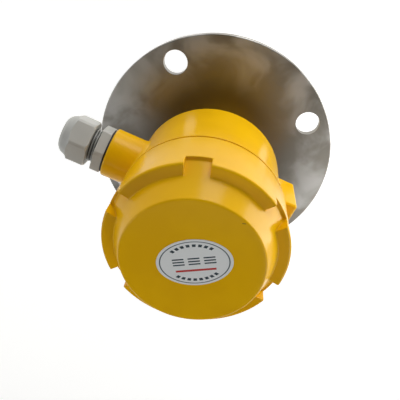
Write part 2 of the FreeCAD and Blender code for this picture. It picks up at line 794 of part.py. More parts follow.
def shaft():
    """Paddle shaft: ring groove above the upper bush, slot and flats at the paddle."""
    groove = bush_flange_top + seat_gap
    rod = turned([
        (0, shaft_bottom), (shaft_radius, shaft_bottom, shaft_ring_groove), (shaft_radius, groove),
        (shaft_radius - shaft_ring_groove, groove),
        (shaft_radius - shaft_ring_groove, groove + shaft_ring_thickness),
        (shaft_radius, groove + shaft_ring_thickness),
        (shaft_radius, shaft_top - shaft_ring_groove),
        (shaft_radius - shaft_ring_groove, shaft_top), (0, shaft_top)])
    slot = box(shaft_radius * 3, paddle_thickness + fit_gap * 2, paddle_lap + 1,
               z=shaft_bottom - 1)
    aside = flat_across / 2 + shaft_radius / 2
    flats = [box(shaft_radius * 3, shaft_radius, paddle_lap + 1, y=side, z=shaft_bottom - 1)
             for side in (aside, -aside)]
    holes = [cylinder(paddle_screw_radius + fit_gap, shaft_radius * 3,
                      y=-shaft_radius * 1.5, z=height, axis="y") for height in screw_heights()]
    keep("paddle_shaft", cut(rod, slot, *flats, *holes))
    ring = turned([
        (shaft_radius - shaft_ring_groove + fit_gap, groove), (shaft_ring_radius, groove),
        (shaft_ring_radius, groove + shaft_ring_thickness),
        (shaft_radius - shaft_ring_groove + fit_gap, groove + shaft_ring_thickness)])
    opening = box(shaft_radius * 2, shaft_radius, shaft_ring_thickness * 2,
                  x=shaft_radius, z=groove - shaft_ring_thickness / 2)
    keep("shaft_retaining_ring", cut(ring, opening))


def screw_heights():
    """Heights of the two screws that hold the paddle."""
    top = shaft_bottom + paddle_lap - paddle_screw_edge
    return top, top - paddle_screw_spacing


def paddle():
    """Flat vane in the shaft's slot, with its screws and nuts."""
    top = shaft_bottom + paddle_lap
    bottom = top - paddle_height
    half = paddle_width / 2
    body, sketch = sketched("XZ_Plane", [
        (-half, bottom, paddle_corner), (half, bottom, paddle_corner),
        (half, top, paddle_corner), (-half, top, paddle_corner)])
    pad = body.newObject("PartDesign::Pad", "pad")
    pad.Profile = sketch
    bind(pad, Length=paddle_thickness)
    body.Tip = pad
    place(body, y=paddle_thickness / 2)
    holes = [cylinder(paddle_screw_radius + fit_gap, shaft_radius * 2,
                      y=-shaft_radius, z=height, axis="y") for height in screw_heights()]
    keep("paddle_blade", cut(body, *holes))
    screws, nuts = [], []
    flat = flat_across / 2
    for height in screw_heights():
        shank = cylinder(paddle_screw_radius, flat_across + nut_height + screw_point,
                         y=-flat, z=height, axis="y")
        head = cylinder(screw_head_radius, screw_head_height,
                        y=-flat - screw_head_height, z=height, axis="y")
        socket = hexagon(paddle_screw_radius * 0.8, screw_head_height * 0.6,
                         y=-flat - screw_head_height, z=height, axis="y")
        screws.append(cut(fuse(shank, head), socket))
        nut = hexagon(nut_corner_radius, nut_height, y=flat, z=height, axis="y")
        bore = cylinder(paddle_screw_radius + fit_gap, nut_height + 2,
                        y=flat - 1, z=height, axis="y")
        nuts.append(cut(nut, bore))
    keep("paddle_screws", group(*screws))
    keep("paddle_nuts", group(*nuts))


def coupling():
    """Turned coupling that joins the shaft to the motor, with its grub screws."""
    step = shaft_top + fit_gap
    body = turned([
        (shaft_radius + fit_gap / 2, coupling_bottom), (coupling_radius, coupling_bottom),
        (coupling_radius, coupling_top), (output_radius + fit_gap / 2, coupling_top),
        (output_radius + fit_gap / 2, step), (shaft_radius + fit_gap / 2, step)])
    levels = (coupling_bottom + grub_inset, coupling_top - grub_inset)
    holes = [cylinder(grub_radius, coupling_radius, z=level, axis="x") for level in levels]
    keep("shaft_coupling", cut(body, *holes))
    screws = []
    for level, start in zip(levels, (shaft_radius, output_radius)):
        begin = start + fit_gap
        length = coupling_radius - begin - fit_gap
        screw = cylinder(grub_radius, length, x=begin, z=level, axis="x")
        socket = hexagon(grub_radius / 2, length / 2, x=begin + length / 2, z=level, axis="x")
        screws.append(cut(screw, socket))
    keep("coupling_screws", group(*screws))
    keep("motor_output_shaft", cylinder(output_radius, output_length, z=output_bottom))


def chassis():
    """Plate on the cast posts, with its three screws."""
    hole = coupling_radius + 1
    body = turned([(hole, chassis_top - chassis_thickness),
                   (chassis_radius, chassis_top - chassis_thickness),
                   (chassis_radius, chassis_top), (hole, chassis_top)])
    spots = list(around(3, post_circle, post_angle))
    holes = [cylinder(small_screw_radius + seat_gap, chassis_thickness + 2, x, y,
                      chassis_top - chassis_thickness - 1) for x, y, _ in spots]
    keep("chassis_plate", cut(body, *holes))
    keep("chassis_screws", group(*[pan_screw(x, y, chassis_top, chassis_thickness + 2.5)
                                   for x, y, _ in spots]))


def pan_screw(x, y, seat, reach):
    """Slotted screw with its head on a seat, pointing down."""
    shank_radius = post_pilot - fit_gap
    shank = cylinder(shank_radius, reach + small_head_height / 2, x, y, seat - reach)
    head = cylinder(small_head_radius, small_head_height, x, y, seat)
    slot = box(small_head_radius * 2, slot_width, slot_depth + 1,
               x, y, seat + small_head_height - slot_depth)
    return cut(fuse(shank, head), slot)


def motor():
    """Gear motor on its swinging plate."""
    back = -torque_plate_back
    side = torque_plate_half
    front = torque_plate_front
    near = plate_waist - motor_offset + plate_setback
    far = -plate_waist - motor_offset + plate_setback
    end = plate_end_half
    body = plate([
        (front, -end, plate_tip_corner), (front, end, plate_tip_corner),
        (near, side, plate_corner), (far, side, plate_corner),
        (back, end, plate_corner), (back, -end, plate_corner),
        (far, -side, plate_corner), (near, -side, plate_corner)],
        torque_plate_thickness, torque_plate_bottom)
    centre_hole = cylinder(gearbox_spigot + fit_gap, torque_plate_thickness + 2,
                           z=torque_plate_bottom - 1)
    pin_hole = cylinder(trip_pin_radius, torque_plate_thickness + 2, trip_pin_x, trip_pin_y,
                        torque_plate_bottom - 1)
    screw_holes = [cylinder(post_pilot, torque_plate_thickness + 2, motor_screw_x, y,
                            torque_plate_bottom - 1) for y in (motor_screw_y, -motor_screw_y)]
    keep("torque_plate", cut(body, centre_hole, pin_hole, *screw_holes))
    centre = -motor_offset
    case = cylinder(gearbox_radius, gearbox_height, x=centre, z=torque_plate_top)
    spigot = cylinder(gearbox_spigot, torque_plate_thickness + 1, z=torque_plate_bottom)
    bore = cylinder(output_radius + running_gap, gearbox_height / 2 + torque_plate_thickness,
                    z=torque_plate_bottom - 0.5)
    pilots = [cylinder(post_pilot, gearbox_height / 2, motor_screw_x, y, torque_plate_top - 0.5)
              for y in (motor_screw_y, -motor_screw_y)]
    keep("gearbox_case", cut(fuse(case, spigot), bore, *pilots))
    can = turned([
        (0, motor_can_bottom), (motor_can_radius, motor_can_bottom),
        (motor_can_radius, motor_can_top, motor_can_round), (0, motor_can_top)], x=centre)
    keep("motor_can", can)
    screws = []
    for y in (motor_screw_y, -motor_screw_y):
        shank = cylinder(post_pilot - fit_gap, torque_plate_thickness + motor_screw_bite, motor_screw_x, y,
                         torque_plate_bottom)
        head = cylinder(small_head_radius, small_head_height, motor_screw_x, y,
                        torque_plate_bottom - small_head_height)
        slot = box(small_head_radius * 2, slot_width, slot_depth, motor_screw_x, y,
                   torque_plate_bottom - small_head_height)
        screws.append(cut(fuse(shank, head), slot))
    keep("motor_screws", group(*screws))
    keep("trip_pin", cylinder(trip_pin_radius, trip_pin_length + torque_plate_thickness,
                              trip_pin_x, trip_pin_y, torque_plate_bottom - trip_pin_length))
    stop_y = trip_pin_y + trip_pin_radius + seat_gap + stop_radius
    keep("swing_stop", cylinder(stop_radius, stop_height, trip_pin_x, stop_y, chassis_top))


def spring():
    """Torsion spring round the coupling, between the two plates: half turns that each climb."""
    rise = (torque_plate_lift - coil_wire * 2 - seat_gap * 2) / coil_turns / 2
    bend_radius = hypotenuse(coil_radius, rise / 2)
    tilt = math.degrees(math.atan2(rise.value / 2, coil_radius.value))
    start = chassis_top + coil_wire + seat_gap
    bends = []
    for number in range(coil_turns * 2):
        bend = bind(add("Part::Torus", "bend"), Radius1=bend_radius, Radius2=coil_wire, Angle3=180)
        side = number % 2
        lean = FreeCAD.Rotation(FreeCAD.Vector(0, 1, 0), -tilt if side else tilt)
        half_turn = FreeCAD.Rotation(FreeCAD.Vector(0, 0, 1), 180 * side)
        place(bend, z=start + rise * (number + 0.5), rotation=lean.multiply(half_turn))
        bends.append(bend)
    keep("torque_spring", fuse(*bends))


def switches():
    """Two switches one above the other, each with its lever and button, and their screws."""
    centre_x = switch_end_x - switch_length / 2
    centre_y = switch_face_y - switch_depth / 2
    button_x = lever_pivot_x - button_reach
    screw_spots = (switch_end_x - switch_screw_edge,
                   switch_end_x - switch_length + switch_screw_edge)
    screw_y = switch_face_y - switch_screw_depth
    for level, name in enumerate(("lower", "upper")):
        bottom = chassis_top + switch_height * level
        middle = bottom + switch_height / 2
        case = box(switch_length, switch_depth, switch_height, centre_x, centre_y, bottom)
        lift = lever_pivot_y + lever_roll_radius - switch_face_y
        inner = lever_width / 2 + seat_gap
        cheeks = [box(lever_roll_radius * 2, lift + 1, cheek_thickness, lever_pivot_x,
                      switch_face_y + (lift - 1) / 2, start)
                  for start in (middle - inner - cheek_thickness, middle + inner)]
        pin = cylinder(lever_pin_radius, inner * 2 + cheek_thickness, lever_pivot_x, lever_pivot_y,
                       middle - inner - cheek_thickness / 2)
        bore = cylinder(button_radius + running_gap, button_bore_depth + 1, button_x,
                        switch_face_y - button_bore_depth, middle, axis="y")
        holes = [cylinder(switch_screw_radius + fit_gap, switch_height + 2, x, screw_y, bottom - 1)
                 for x in screw_spots]
        keep(f"switch_{name}", cut(fuse(case, pin, *cheeks), bore, *holes))
        roll = cylinder(lever_roll_radius, lever_width, lever_pivot_x, lever_pivot_y,
                        middle - lever_width / 2)
        eye = cylinder(lever_pin_radius + running_gap, lever_width + 2, lever_pivot_x,
                       lever_pivot_y, middle - lever_width / 2 - 1)
        strip = bind(add("Part::Box", "strip"), Length=lever_length, Width=lever_thickness,
                     Height=lever_width)
        turn = sized(180) - lever_rise
        spin = FreeCAD.Rotation(FreeCAD.Vector(0, 0, 1), turn.value)
        half = lever_thickness / 2
        place(strip, lever_pivot_x + half * sine(turn), lever_pivot_y - half * cosine(turn),
              middle - lever_width / 2, spin)
        keep(f"switch_lever_{name}", cut(fuse(roll, strip), eye))
        keep(f"switch_button_{name}", cylinder(
            button_radius, button_tail + button_height, button_x, switch_face_y - button_tail,
            middle, axis="y"))
    top = chassis_top + switch_height * 2
    screws = []
    for x in screw_spots:
        shank = cylinder(switch_screw_radius, switch_height * 2, x, screw_y, chassis_top)
        head = cylinder(switch_head_radius, switch_head_height, x, screw_y, top)
        screws.append(fuse(shank, head))
    keep("switch_screws", group(*screws))


def terminals():
    """Board on four pillars with a terminal block."""
    spots = [(standoff_circle * cosine(angle), standoff_circle * sine(angle))
             for angle in standoff_angles]
    pillars = [hexagon(standoff_corner, standoff_length, x, y, chassis_top) for x, y in spots]
    keep("board_pillars", group(*pillars))
    disc = cylinder(board_radius, board_thickness, z=board_bottom)
    flat = box(board_radius, board_radius * 2, board_thickness + 2,
               x=board_chord + board_radius / 2, z=board_bottom - 1)
    holes = [cylinder(small_screw_radius, board_thickness + 2, x, y, board_bottom - 1)
             for x, y in spots]
    keep("terminal_board", cut(disc, flat, *holes))
    keep("board_screws", group(*[board_screw(x, y) for x, y in spots]))
    length = terminal_pitch * terminal_count + terminal_wall
    block = box(terminal_depth, length, terminal_height, x=terminal_x, z=board_top)
    screw_x = terminal_x - terminal_screw_back
    cutters, screws = [], []
    for number in range(terminal_count):
        y = terminal_pitch * (number - (terminal_count - 1) / 2)
        cell = terminal_pitch - terminal_wall
        well = cylinder(cell / 2 - fit_gap, terminal_step + 1, screw_x, y,
                        board_top + terminal_height - terminal_step)
        mouth = box(terminal_depth / 2, cell, terminal_step,
                    terminal_x + terminal_depth / 2, y, board_top + terminal_wall)
        cutters += [well, mouth]
        seat = board_top + terminal_height - terminal_step
        head = cylinder(terminal_screw_radius, terminal_screw_height, screw_x, y, seat)
        slot = box(slot_width, terminal_screw_radius * 2, slot_depth + 1, screw_x, y,
                   seat + terminal_screw_height - slot_depth)
        screws.append(cut(head, slot))
    keep("terminal_block", cut(block, *cutters))
    keep("terminal_screws", group(*screws))


def board_screw(x, y):
    """Screw head on the board, over a pillar."""
    head = cylinder(small_head_radius, small_head_height, x, y, board_top)
    slot = box(small_head_radius * 2, slot_width, slot_depth + 1,
               x, y, board_top + small_head_height - slot_depth)
    shank = cylinder(small_screw_radius - fit_gap, board_thickness, x, y, board_bottom)
    return cut(fuse(shank, head), slot)


def gland():
    """Nylon cable gland: gasket, body, rubber insert and domed nut."""
    washer = turned([
        (boss_reach, conduit_bore), (boss_reach, gland_gasket_radius),
        (collar_start, gland_gasket_radius), (collar_start, conduit_bore)],
        axis="x", z=conduit_height)
    keep("gland_gasket", washer)
    neck_end = collar_end + gland_neck_length
    root = gland_neck_radius - gland_thread_depth
    outline = [
        (collar_start - gland_thread_length, gland_bore),
        (collar_start - gland_thread_length, conduit_bore - fit_gap),
        (collar_start, conduit_bore - fit_gap), (collar_start, gland_corner_radius),
        (collar_end, gland_corner_radius), (collar_end, root)]
    for number in range(gland_thread_turns):
        start = collar_end + gland_thread_pitch * (number + 0.5)
        outline += [(start, root), (start + gland_thread_pitch * 0.4, gland_neck_radius),
                    (start + gland_thread_pitch * 0.6, gland_neck_radius)]
    outline += [(neck_end - gland_neck_chamfer, root), (neck_end, root - gland_neck_chamfer),
                (neck_end, gland_bore)]
    turned_body = turned(outline, axis="x", z=conduit_height)
    envelope = fuse(
        hexagon(gland_point_radius, collar_thickness, x=collar_start, z=conduit_height, axis="x",
                turn=gland_turn),
        cylinder(gland_neck_radius, gland_neck_length + 1, x=collar_end - 0.5,
                 z=conduit_height, axis="x"),
        cylinder(conduit_bore, gland_thread_length + 1, x=collar_start - gland_thread_length - 0.5,
                 z=conduit_height, axis="x"))
    keep("gland_body", common(turned_body, envelope))
    bore = gland_neck_radius + running_gap
    hex_end = gland_nut_start + gland_hex_length
    seat = gland_nut_end - gland_lip
    taper = gland_seal_taper
    nut_outline = [
        (gland_nut_start, bore), (gland_nut_start, gland_corner_radius - gland_chamfer),
        (gland_nut_start + gland_chamfer, gland_corner_radius),
        (hex_end - gland_shoulder, gland_corner_radius), (hex_end, gland_across_flats / 2),
        (gland_nut_end - gland_dome_edge, gland_dome_radius + gland_dome_swell, gland_dome_round),
        (gland_nut_end, gland_dome_radius, gland_mouth_round),
        (gland_nut_end, gland_mouth_radius), (seat, gland_mouth_radius),
        (seat - taper, bore - taper), (seat - taper * 2, bore)]
    nut_solid = turned(nut_outline, axis="x", z=conduit_height)
    prism = hexagon(gland_point_radius, gland_nut_end - gland_nut_start, x=gland_nut_start,
                    z=conduit_height, axis="x", turn=gland_turn)
    keep("gland_nut", common(nut_solid, prism))
    inner = bore - rest_gap
    start = neck_end + seat_gap
    insert = turned([
        (start, gland_seal_bore), (start, inner), (seat - taper * 2, inner),
        (seat - taper, inner - taper),
        (seat - seat_gap, gland_mouth_radius), (seat - seat_gap, gland_seal_bore)],
        axis="x", z=conduit_height)
    keep("gland_seal", insert)


housing()
cover()
cover_ring()
label()
flange()
neck_parts()
sleeve()
bearings()
shaft()
paddle()
coupling()
chassis()
motor()
spring()
switches()
terminals()
gland()
doc.recompute()

for item in doc.Objects:
    if "Invalid" in item.State or "Error" in item.State:
        raise RuntimeError(f"{item.Name} ({item.Label}) did not build")

os.makedirs("parts", exist_ok=True)
for item in kept:
    shape = item.Shape
    if shape.isNull() or not shape.isValid() or not shape.Solids:
        raise RuntimeError(f"{item.Label} has no valid solid")
    shape.exportStep(os.path.join("parts", item.Label + ".step"))
print(len(kept), "sub-parts written")
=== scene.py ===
"""Looks of the rotary paddle level switch: painted casting, steel flange and shaft, nylon gland.

Metres, in the frame of the packed model: the origin is the centre of the flange's rear face,
+Z runs up the shaft's axis to the cover, and +X is the side of the cable gland.
"""

import json
import math

import bmesh
import bpy
from bpy.props import FloatProperty, FloatVectorProperty, IntProperty, PointerProperty
from mathutils import Matrix, Vector

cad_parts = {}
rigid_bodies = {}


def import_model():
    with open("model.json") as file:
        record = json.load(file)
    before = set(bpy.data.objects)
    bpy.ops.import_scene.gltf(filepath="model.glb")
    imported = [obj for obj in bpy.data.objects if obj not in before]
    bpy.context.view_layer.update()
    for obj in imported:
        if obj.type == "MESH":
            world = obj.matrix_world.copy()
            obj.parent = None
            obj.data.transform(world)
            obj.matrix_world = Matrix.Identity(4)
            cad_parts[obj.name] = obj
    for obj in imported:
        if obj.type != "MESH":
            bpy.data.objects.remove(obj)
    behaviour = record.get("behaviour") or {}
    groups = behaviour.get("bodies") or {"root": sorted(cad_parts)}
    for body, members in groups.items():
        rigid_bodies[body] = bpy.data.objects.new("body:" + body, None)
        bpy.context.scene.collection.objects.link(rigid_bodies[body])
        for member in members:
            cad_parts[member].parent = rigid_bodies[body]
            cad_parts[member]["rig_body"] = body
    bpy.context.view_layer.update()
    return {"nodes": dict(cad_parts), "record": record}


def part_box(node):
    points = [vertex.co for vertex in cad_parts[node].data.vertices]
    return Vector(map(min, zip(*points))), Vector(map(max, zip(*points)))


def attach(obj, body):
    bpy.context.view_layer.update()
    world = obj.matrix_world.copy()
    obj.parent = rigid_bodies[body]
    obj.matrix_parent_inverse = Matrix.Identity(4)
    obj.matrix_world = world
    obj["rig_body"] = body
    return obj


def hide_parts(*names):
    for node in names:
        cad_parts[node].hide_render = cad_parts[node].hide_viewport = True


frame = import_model()

bl_info = {
    "name": "Rotary paddle level switch",
    "version": (1, 0, 0),
    "blender": (4, 5, 0),
    "location": "View3D > Sidebar > Level switch",
    "description": "Dresses the packed level switch and sets its stage, lights and camera",
    "category": "Object",
}

MM = 0.001
COVER_FOOT, COVER_TOP = (corner.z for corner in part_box("cover"))
FLANGE_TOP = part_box("mounting_flange")[1].z
PADDLE_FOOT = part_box("paddle_blade")[0].z
LABEL_MIDDLE = sum(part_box("cover_label"), Vector()) / 2
# The side of the part that faces the window, seen from above.
LIT_SIDE = Vector((0.12, -0.993, 0.0))
# Where the soft lights point: the middle of the housing.
LIT_PLACE = Vector((0, 0, 0.08))
# The large light stands on that side, lower than where it points.
KEY_PLACE = LIT_SIDE * 0.8 + Vector((0, 0, 0.03))
# Faces round the cover for each notch, and how many of them a notch opens.
SHARE_COLUMNS = 24
NOTCH_COLUMNS = 6
# Half the width of a thread's ridge: at its foot in pitches, at its crest as a share of that.
RIDGE_FOOT = 0.38
RIDGE_CREST = 0.3
# Faces in one turn of a thread, and round the housing's bead.
THREAD_STEPS = 96
BEAD_STEPS = 144
# Two places closer than this are the same place.
TINY = 0.01 * MM
# Faces that meet at more than these angles have a hard edge between them: for the shading, for
# the bevels of a piece's own shape, and for the rounding round the notches.
SHADED_EDGE = math.radians(24)
BEVELLED_EDGE = math.radians(40)
NOTCH_EDGE = math.radians(25)


def length(name, default, description):
    """A length in metres that shows in the panel."""
    return FloatProperty(name=name, default=default, description=description, unit="LENGTH",
                         precision=5, min=0.0)


def colour(name, default, description):
    """A colour that shows in the panel."""
    return FloatVectorProperty(name=name, default=default, description=description,
                               subtype="COLOR", size=3, min=0.0, max=1.0)


class LevelSwitchCover(bpy.types.PropertyGroup):
    """Sizes of the screw cover."""

    seat_radius: length("Seat radius", 44.1 * MM, "Outside radius of the ring at its seat")
    lug_radius: length("Lug radius", 44.7 * MM, "Outside radius at the top of the lugs")
    ring_height: length("Ring height", 31.0 * MM, "Height of the notched ring above its seat")
    drum_root: length("Drum root radius", 38.5 * MM, "Radius of the drum where it leaves the ring")
    drum_face: length("Drum face radius", 33.5 * MM, "Radius of the drum at its face")
    drum_edge: length("Drum edge", 0.7 * MM, "Rounding between the drum and its face")
    rim_width: length("Rim width", 2.9 * MM, "Width of the slope round the face")
    rim_drop: length("Rim drop", 0.15 * MM, "Fall of the slope round the face")
    notch_count: IntProperty(name="Notches", default=6, min=2, description="Notches in the ring")
    notch_width: length("Notch width", 11.8 * MM, "Width of a notch between its parallel sides")
    notch_depth: length("Notch depth", 7.0 * MM, "Depth of a notch below the top of the lugs")
    notch_flare: length("Notch flare", 4.2 * MM, "Reach of a notch's inner wall at its floor")
    notch_turn: FloatProperty(name="Notch turn", default=math.radians(-8.8), subtype="ANGLE",
                              description="Turn of the first notch from the gland's side")
    lug_edge: length("Lug edge", 1.2 * MM, "Rounding of the outer edge of the lugs")
    lug_round: length("Lug rounding", 0.5 * MM, "Rounding of the edges round the notches")
    ring_edge: length("Ring edge", 0.7 * MM, "Rounding of the ring's lower edge")
    spigot_length: length("Spigot length", 12.0 * MM, "Reach of the threaded spigot")
    spigot_radius: length("Spigot radius", 36.52 * MM, "Outside radius of the spigot's thread")
    spigot_bore: length("Spigot bore", 32.2 * MM, "Inside radius at the spigot's end")
    inner_radius: length("Inner radius", 30.6 * MM, "Inside radius under the face")
    face_thickness: length("Face thickness", 3.5 * MM, "Wall behind the cover's face")
    groove_drop: length("Groove drop", 1.7 * MM, "From the seat to the seal's groove")
    groove_width: length("Groove width", 2.6 * MM, "Width of the seal's groove")
    groove_depth: length("Groove depth", 2.4 * MM, "Depth of the seal's groove")
    thread_pitch: length("Thread pitch", 2.0 * MM, "Rise of the cover's thread in one turn")
    thread_depth: length("Thread depth", 0.7 * MM, "Depth of the cover's thread")


class LevelSwitchGland(bpy.types.PropertyGroup):
    """Sizes of the gland's thread."""

    axis_height: length("Axis height", 59.5 * MM, "Height of the gland's axis")
    thread_start: length("Thread start", 64.9 * MM, "Where the thread leaves the collar")
    thread_end: length("Thread end", 75.9 * MM, "Where the thread ends")
    thread_radius: length("Thread radius", 9.4 * MM, "Outside radius of the thread")
    thread_depth: length("Thread depth", 1.0 * MM, "Depth of the thread")
    thread_pitch: length("Thread pitch", 1.5 * MM, "Rise of the thread in one turn")


class LevelSwitchColours(bpy.types.PropertyGroup):
    """Colours of the visible finishes."""

    paint: colour("Paint", (0.88, 0.485, 0.001), "Golden yellow of the painted casting")
    paint_deep: colour("Paint, thin", (0.83, 0.445, 0.001), "Where the paint is thinner")
    flange: colour("Flange", (0.52, 0.505, 0.475), "Brushed stainless plate")
    # Also scaled down for the painted shade round the flange's neck.
    flange_dark: colour("Flange, dark", (0.29, 0.27, 0.23), "Handled patches of the plate")
    steel: colour("Turned steel", (0.62, 0.61, 0.59), "Shaft, sleeve and paddle")
    nylon: colour("Nylon", (0.52, 0.515, 0.475), "Light grey of the gland")
    label: colour("Label film", (0.84, 0.85, 0.83), "White printed film")
    label_line: colour("Label line", (0.03, 0.05, 0.06), "Dark line and marks on the label")
    label_bar: colour("Label bar", (0.55, 0.04, 0.03), "Red bar on the label")


class LevelSwitchStage(bpy.types.PropertyGroup):
    """Camera, floor and lights."""

    aim: FloatVectorProperty(name="Aim", default=(6.85 * MM, -20.09 * MM, 105 * MM), size=3,
                             unit="LENGTH", description="Point that the camera looks at")
    azimuth: FloatProperty(name="Azimuth", default=math.radians(13.05), subtype="ANGLE",
                           description="Camera's turn round the part")
    elevation: FloatProperty(name="Elevation", default=math.radians(59.70), subtype="ANGLE",
                             description="Camera's angle above the horizon")
    roll: FloatProperty(name="Roll", default=math.radians(-168.15), subtype="ANGLE",
                        description="Turn of the camera about its own axis")
    distance: length("Distance", 207.96 * MM, "From the camera to the aim")
    lens: FloatProperty(name="Lens", default=40.5, description="Focal length in millimetres")
    floor: colour("Floor", (0.93, 0.925, 0.905), "Pale floor")
    floor_glow: FloatProperty(name="Floor glow", default=0.6, description="Light of the floor")
    key_power: FloatProperty(name="Key power", default=1.8, unit="POWER",
                             description="Large low light on the near side of the barrel")
    front_power: FloatProperty(name="Front power", default=2.1, unit="POWER",
                               description="Soft light on the cover's face")
    fill_power: FloatProperty(name="Fill power", default=3.1, unit="POWER",
                              description="Soft light on the cover's face from the pad's side")
    strip_power: FloatProperty(name="Strip power", default=0.5, unit="POWER",
                               description="Long light that shows in the flange's edges")
    top_power: FloatProperty(name="Top power", default=0.25, unit="POWER",
                             description="Soft light from above")
    side_power: FloatProperty(name="Side power", default=0.7, unit="POWER",
                              description="Window light that glints on the drum")
    sky: FloatProperty(name="Sky", default=0.72,
                       description="Brightness of the surroundings round the horizon")


class Wire:
    """A node's output, so that shader maths is written as plain sums."""

    def __init__(self, tree, socket):
        self.tree = tree
        self.socket = socket

    def maths(self, operation, *terms):
        """Adds one Math node."""
        made = self.tree.nodes.new("ShaderNodeMath")
        made.operation = operation
        for entry, term in zip(made.inputs, terms):
            if isinstance(term, Wire):
                self.tree.links.new(term.socket, entry)
            else:
                entry.default_value = term
        return Wire(self.tree, made.outputs[0])

    def __add__(self, other):
        return self.maths("ADD", self, other)

    def __radd__(self, other):
        return self.maths("ADD", other, self)

    def __sub__(self, other):
        return self.maths("SUBTRACT", self, other)

    def __rsub__(self, other):
        return self.maths("SUBTRACT", other, self)

    def __mul__(self, other):
        return self.maths("MULTIPLY", self, other)

    def __rmul__(self, other):
        return self.maths("MULTIPLY", other, self)

    def __truediv__(self, other):
        return self.maths("DIVIDE", self, other)

    def __pow__(self, other):
        return self.maths("POWER", self, other)

    def __lt__(self, other):
        return self.maths("LESS_THAN", self, other)

    def __gt__(self, other):
        return self.maths("GREATER_THAN", self, other)

    def __abs__(self):
        return self.maths("ABSOLUTE", self)

    def repeat(self, step):
        """Distance to the nearest whole number of steps, in steps."""
        return (self / step).maths("PINGPONG", self / step, 0.5)

    def most(self, other):
        """The larger of two values."""
        return self.maths("MAXIMUM", self, other)


class Nodes:
    """Adds nodes to one node tree."""

    def __init__(self, tree):
        self.tree = tree

    def node(self, kind, settings=(), sockets=(), output=0):
        """Adds a node: its settings first, then values or links for its sockets."""
        made = self.tree.nodes.new("ShaderNode" + kind)
        for name, value in dict(settings).items():
            if name == "stops":
                self.set_stops(made.color_ramp, value)
            else:
                setattr(made, name, value)
        for name, value in dict(sockets).items():
            if isinstance(value, Wire):
                self.tree.links.new(value.socket, made.inputs[name])
            else:
                made.inputs[name].default_value = value
        return Wire(self.tree, made.outputs[output])

    def set_stops(self, ramp, stops):
        """Positions and colours of a ramp."""
        while len(ramp.elements) < len(stops):
            ramp.elements.new(1.0)
        for element, (position, tint) in zip(ramp.elements, stops):
            element.position = position
            element.color = (*tint, 1.0)


class Finish(Nodes):
    """A node material with one surface shader."""

    def __init__(self, name, **constants):
        self.material = bpy.data.materials.new(name)
        self.material.use_nodes = True
        super().__init__(self.material.node_tree)
        self.tree.nodes.clear()
        self.shader = self.tree.nodes.new("ShaderNodeBsdfPrincipled")
        output = self.tree.nodes.new("ShaderNodeOutputMaterial")
        self.tree.links.new(self.shader.outputs[0], output.inputs["Surface"])
        self.surface(**constants)
        self.place = self.node("TexCoord", output="Object")

    def surface(self, **values):
        """Sets the shader's own sockets to values or links, each by its name in small letters."""
        for entry, value in values.items():
            socket = self.shader.inputs[entry.replace("_", " ").title().replace("Ior", "IOR")]
            if isinstance(value, Wire):
                self.tree.links.new(value.socket, socket)
            else:
                socket.default_value = value
        return self.material

    def moved(self, centre=(0, 0, 0), turn=0.0, scale=(1, 1, 1)):
        """The place on the piece, measured from a centre, turned about Z and scaled."""
        shifted = self.node("VectorMath", {"operation": "SUBTRACT"}, {0: self.place, 1: centre})
        return self.node("Mapping", {"vector_type": "POINT"},
                         {"Vector": shifted, "Rotation": (0, 0, turn), "Scale": scale})

    def noise(self, grain, detail=2.0, stretch=(1, 1, 1), distortion=0.0):
        """Soft noise whose spots are about one grain across."""
        scaled = self.moved(scale=stretch)
        return self.node("TexNoise", {"noise_dimensions": "3D"},
                         {"Vector": scaled, "Scale": 1 / grain, "Detail": detail,
                          "Distortion": distortion}, output="Fac")

    def axes(self, vector):
        """The three numbers of a place."""
        made = self.tree.nodes.new("ShaderNodeSeparateXYZ")
        self.tree.links.new(vector.socket, made.inputs[0])
        return [Wire(self.tree, made.outputs[number]) for number in range(3)]

    def bar(self, centre, width, height, lean=0.0):
        """A soft-edged bar on the XY plane, leaning from the X axis."""
        across, along, _ = self.axes(self.moved((*centre, 0), -lean))
        soft = 0.05 * MM
        inside = 1 - self.between(abs(across), width / 2 - soft, width / 2 + soft)
        return inside * (1 - self.between(abs(along), height / 2 - soft, height / 2 + soft))

    def between(self, value, low, high):
        """0 below low, 1 above high, smooth between."""
        return self.node("MapRange", {"interpolation_type": "SMOOTHSTEP"},
                         {"Value": value, "From Min": low, "From Max": high})

    def mix(self, factor, first, second):
        """A colour between two."""
        made = self.tree.nodes.new("ShaderNodeMix")
        made.data_type = "RGBA"
        for entry, value in ((0, factor), (6, first), (7, second)):
            if isinstance(value, Wire):
                self.tree.links.new(value.socket, made.inputs[entry])
            elif entry:
                made.inputs[entry].default_value = (*value, 1.0)
            else:
                made.inputs[entry].default_value = value
        return Wire(self.tree, made.outputs[2])

    def bump(self, height, depth):
        """A normal from a height, depth metres from its lowest to its highest."""
        return self.node("Bump", sockets={"Height": height, "Distance": depth, "Strength": 1.0},
                         output="Normal")


def yellow_paint(colours):
    """Glossy golden paint over a casting: slight orange peel, soft waves and cloudy tone."""
    finish = Finish("yellow_paint", ior=1.45, specular_ior_level=0.2)
    cloud = finish.noise(28 * MM, 3.0)
    peel = finish.noise(1.1 * MM, 1.5)
    wave = finish.noise(7 * MM, 1.0)
    tone = finish.mix(finish.between(cloud, 0.35, 0.65), tuple(colours.paint_deep),
                      tuple(colours.paint))
    scratch = finish.bar((-11.3 * MM, -30.0 * MM), 1.5 * MM, 0.35 * MM, math.radians(20))
    on_face = finish.axes(finish.place)[2] > COVER_TOP - 2 * MM
    tone = finish.mix(scratch * on_face * 0.85, tone, (0.10, 0.045, 0.01))
    return finish.surface(
        base_color=tone, roughness=0.16 + 0.1 * finish.noise(9 * MM, 2.0),
        normal=finish.bump(0.25 * peel + wave, 0.09 * MM))


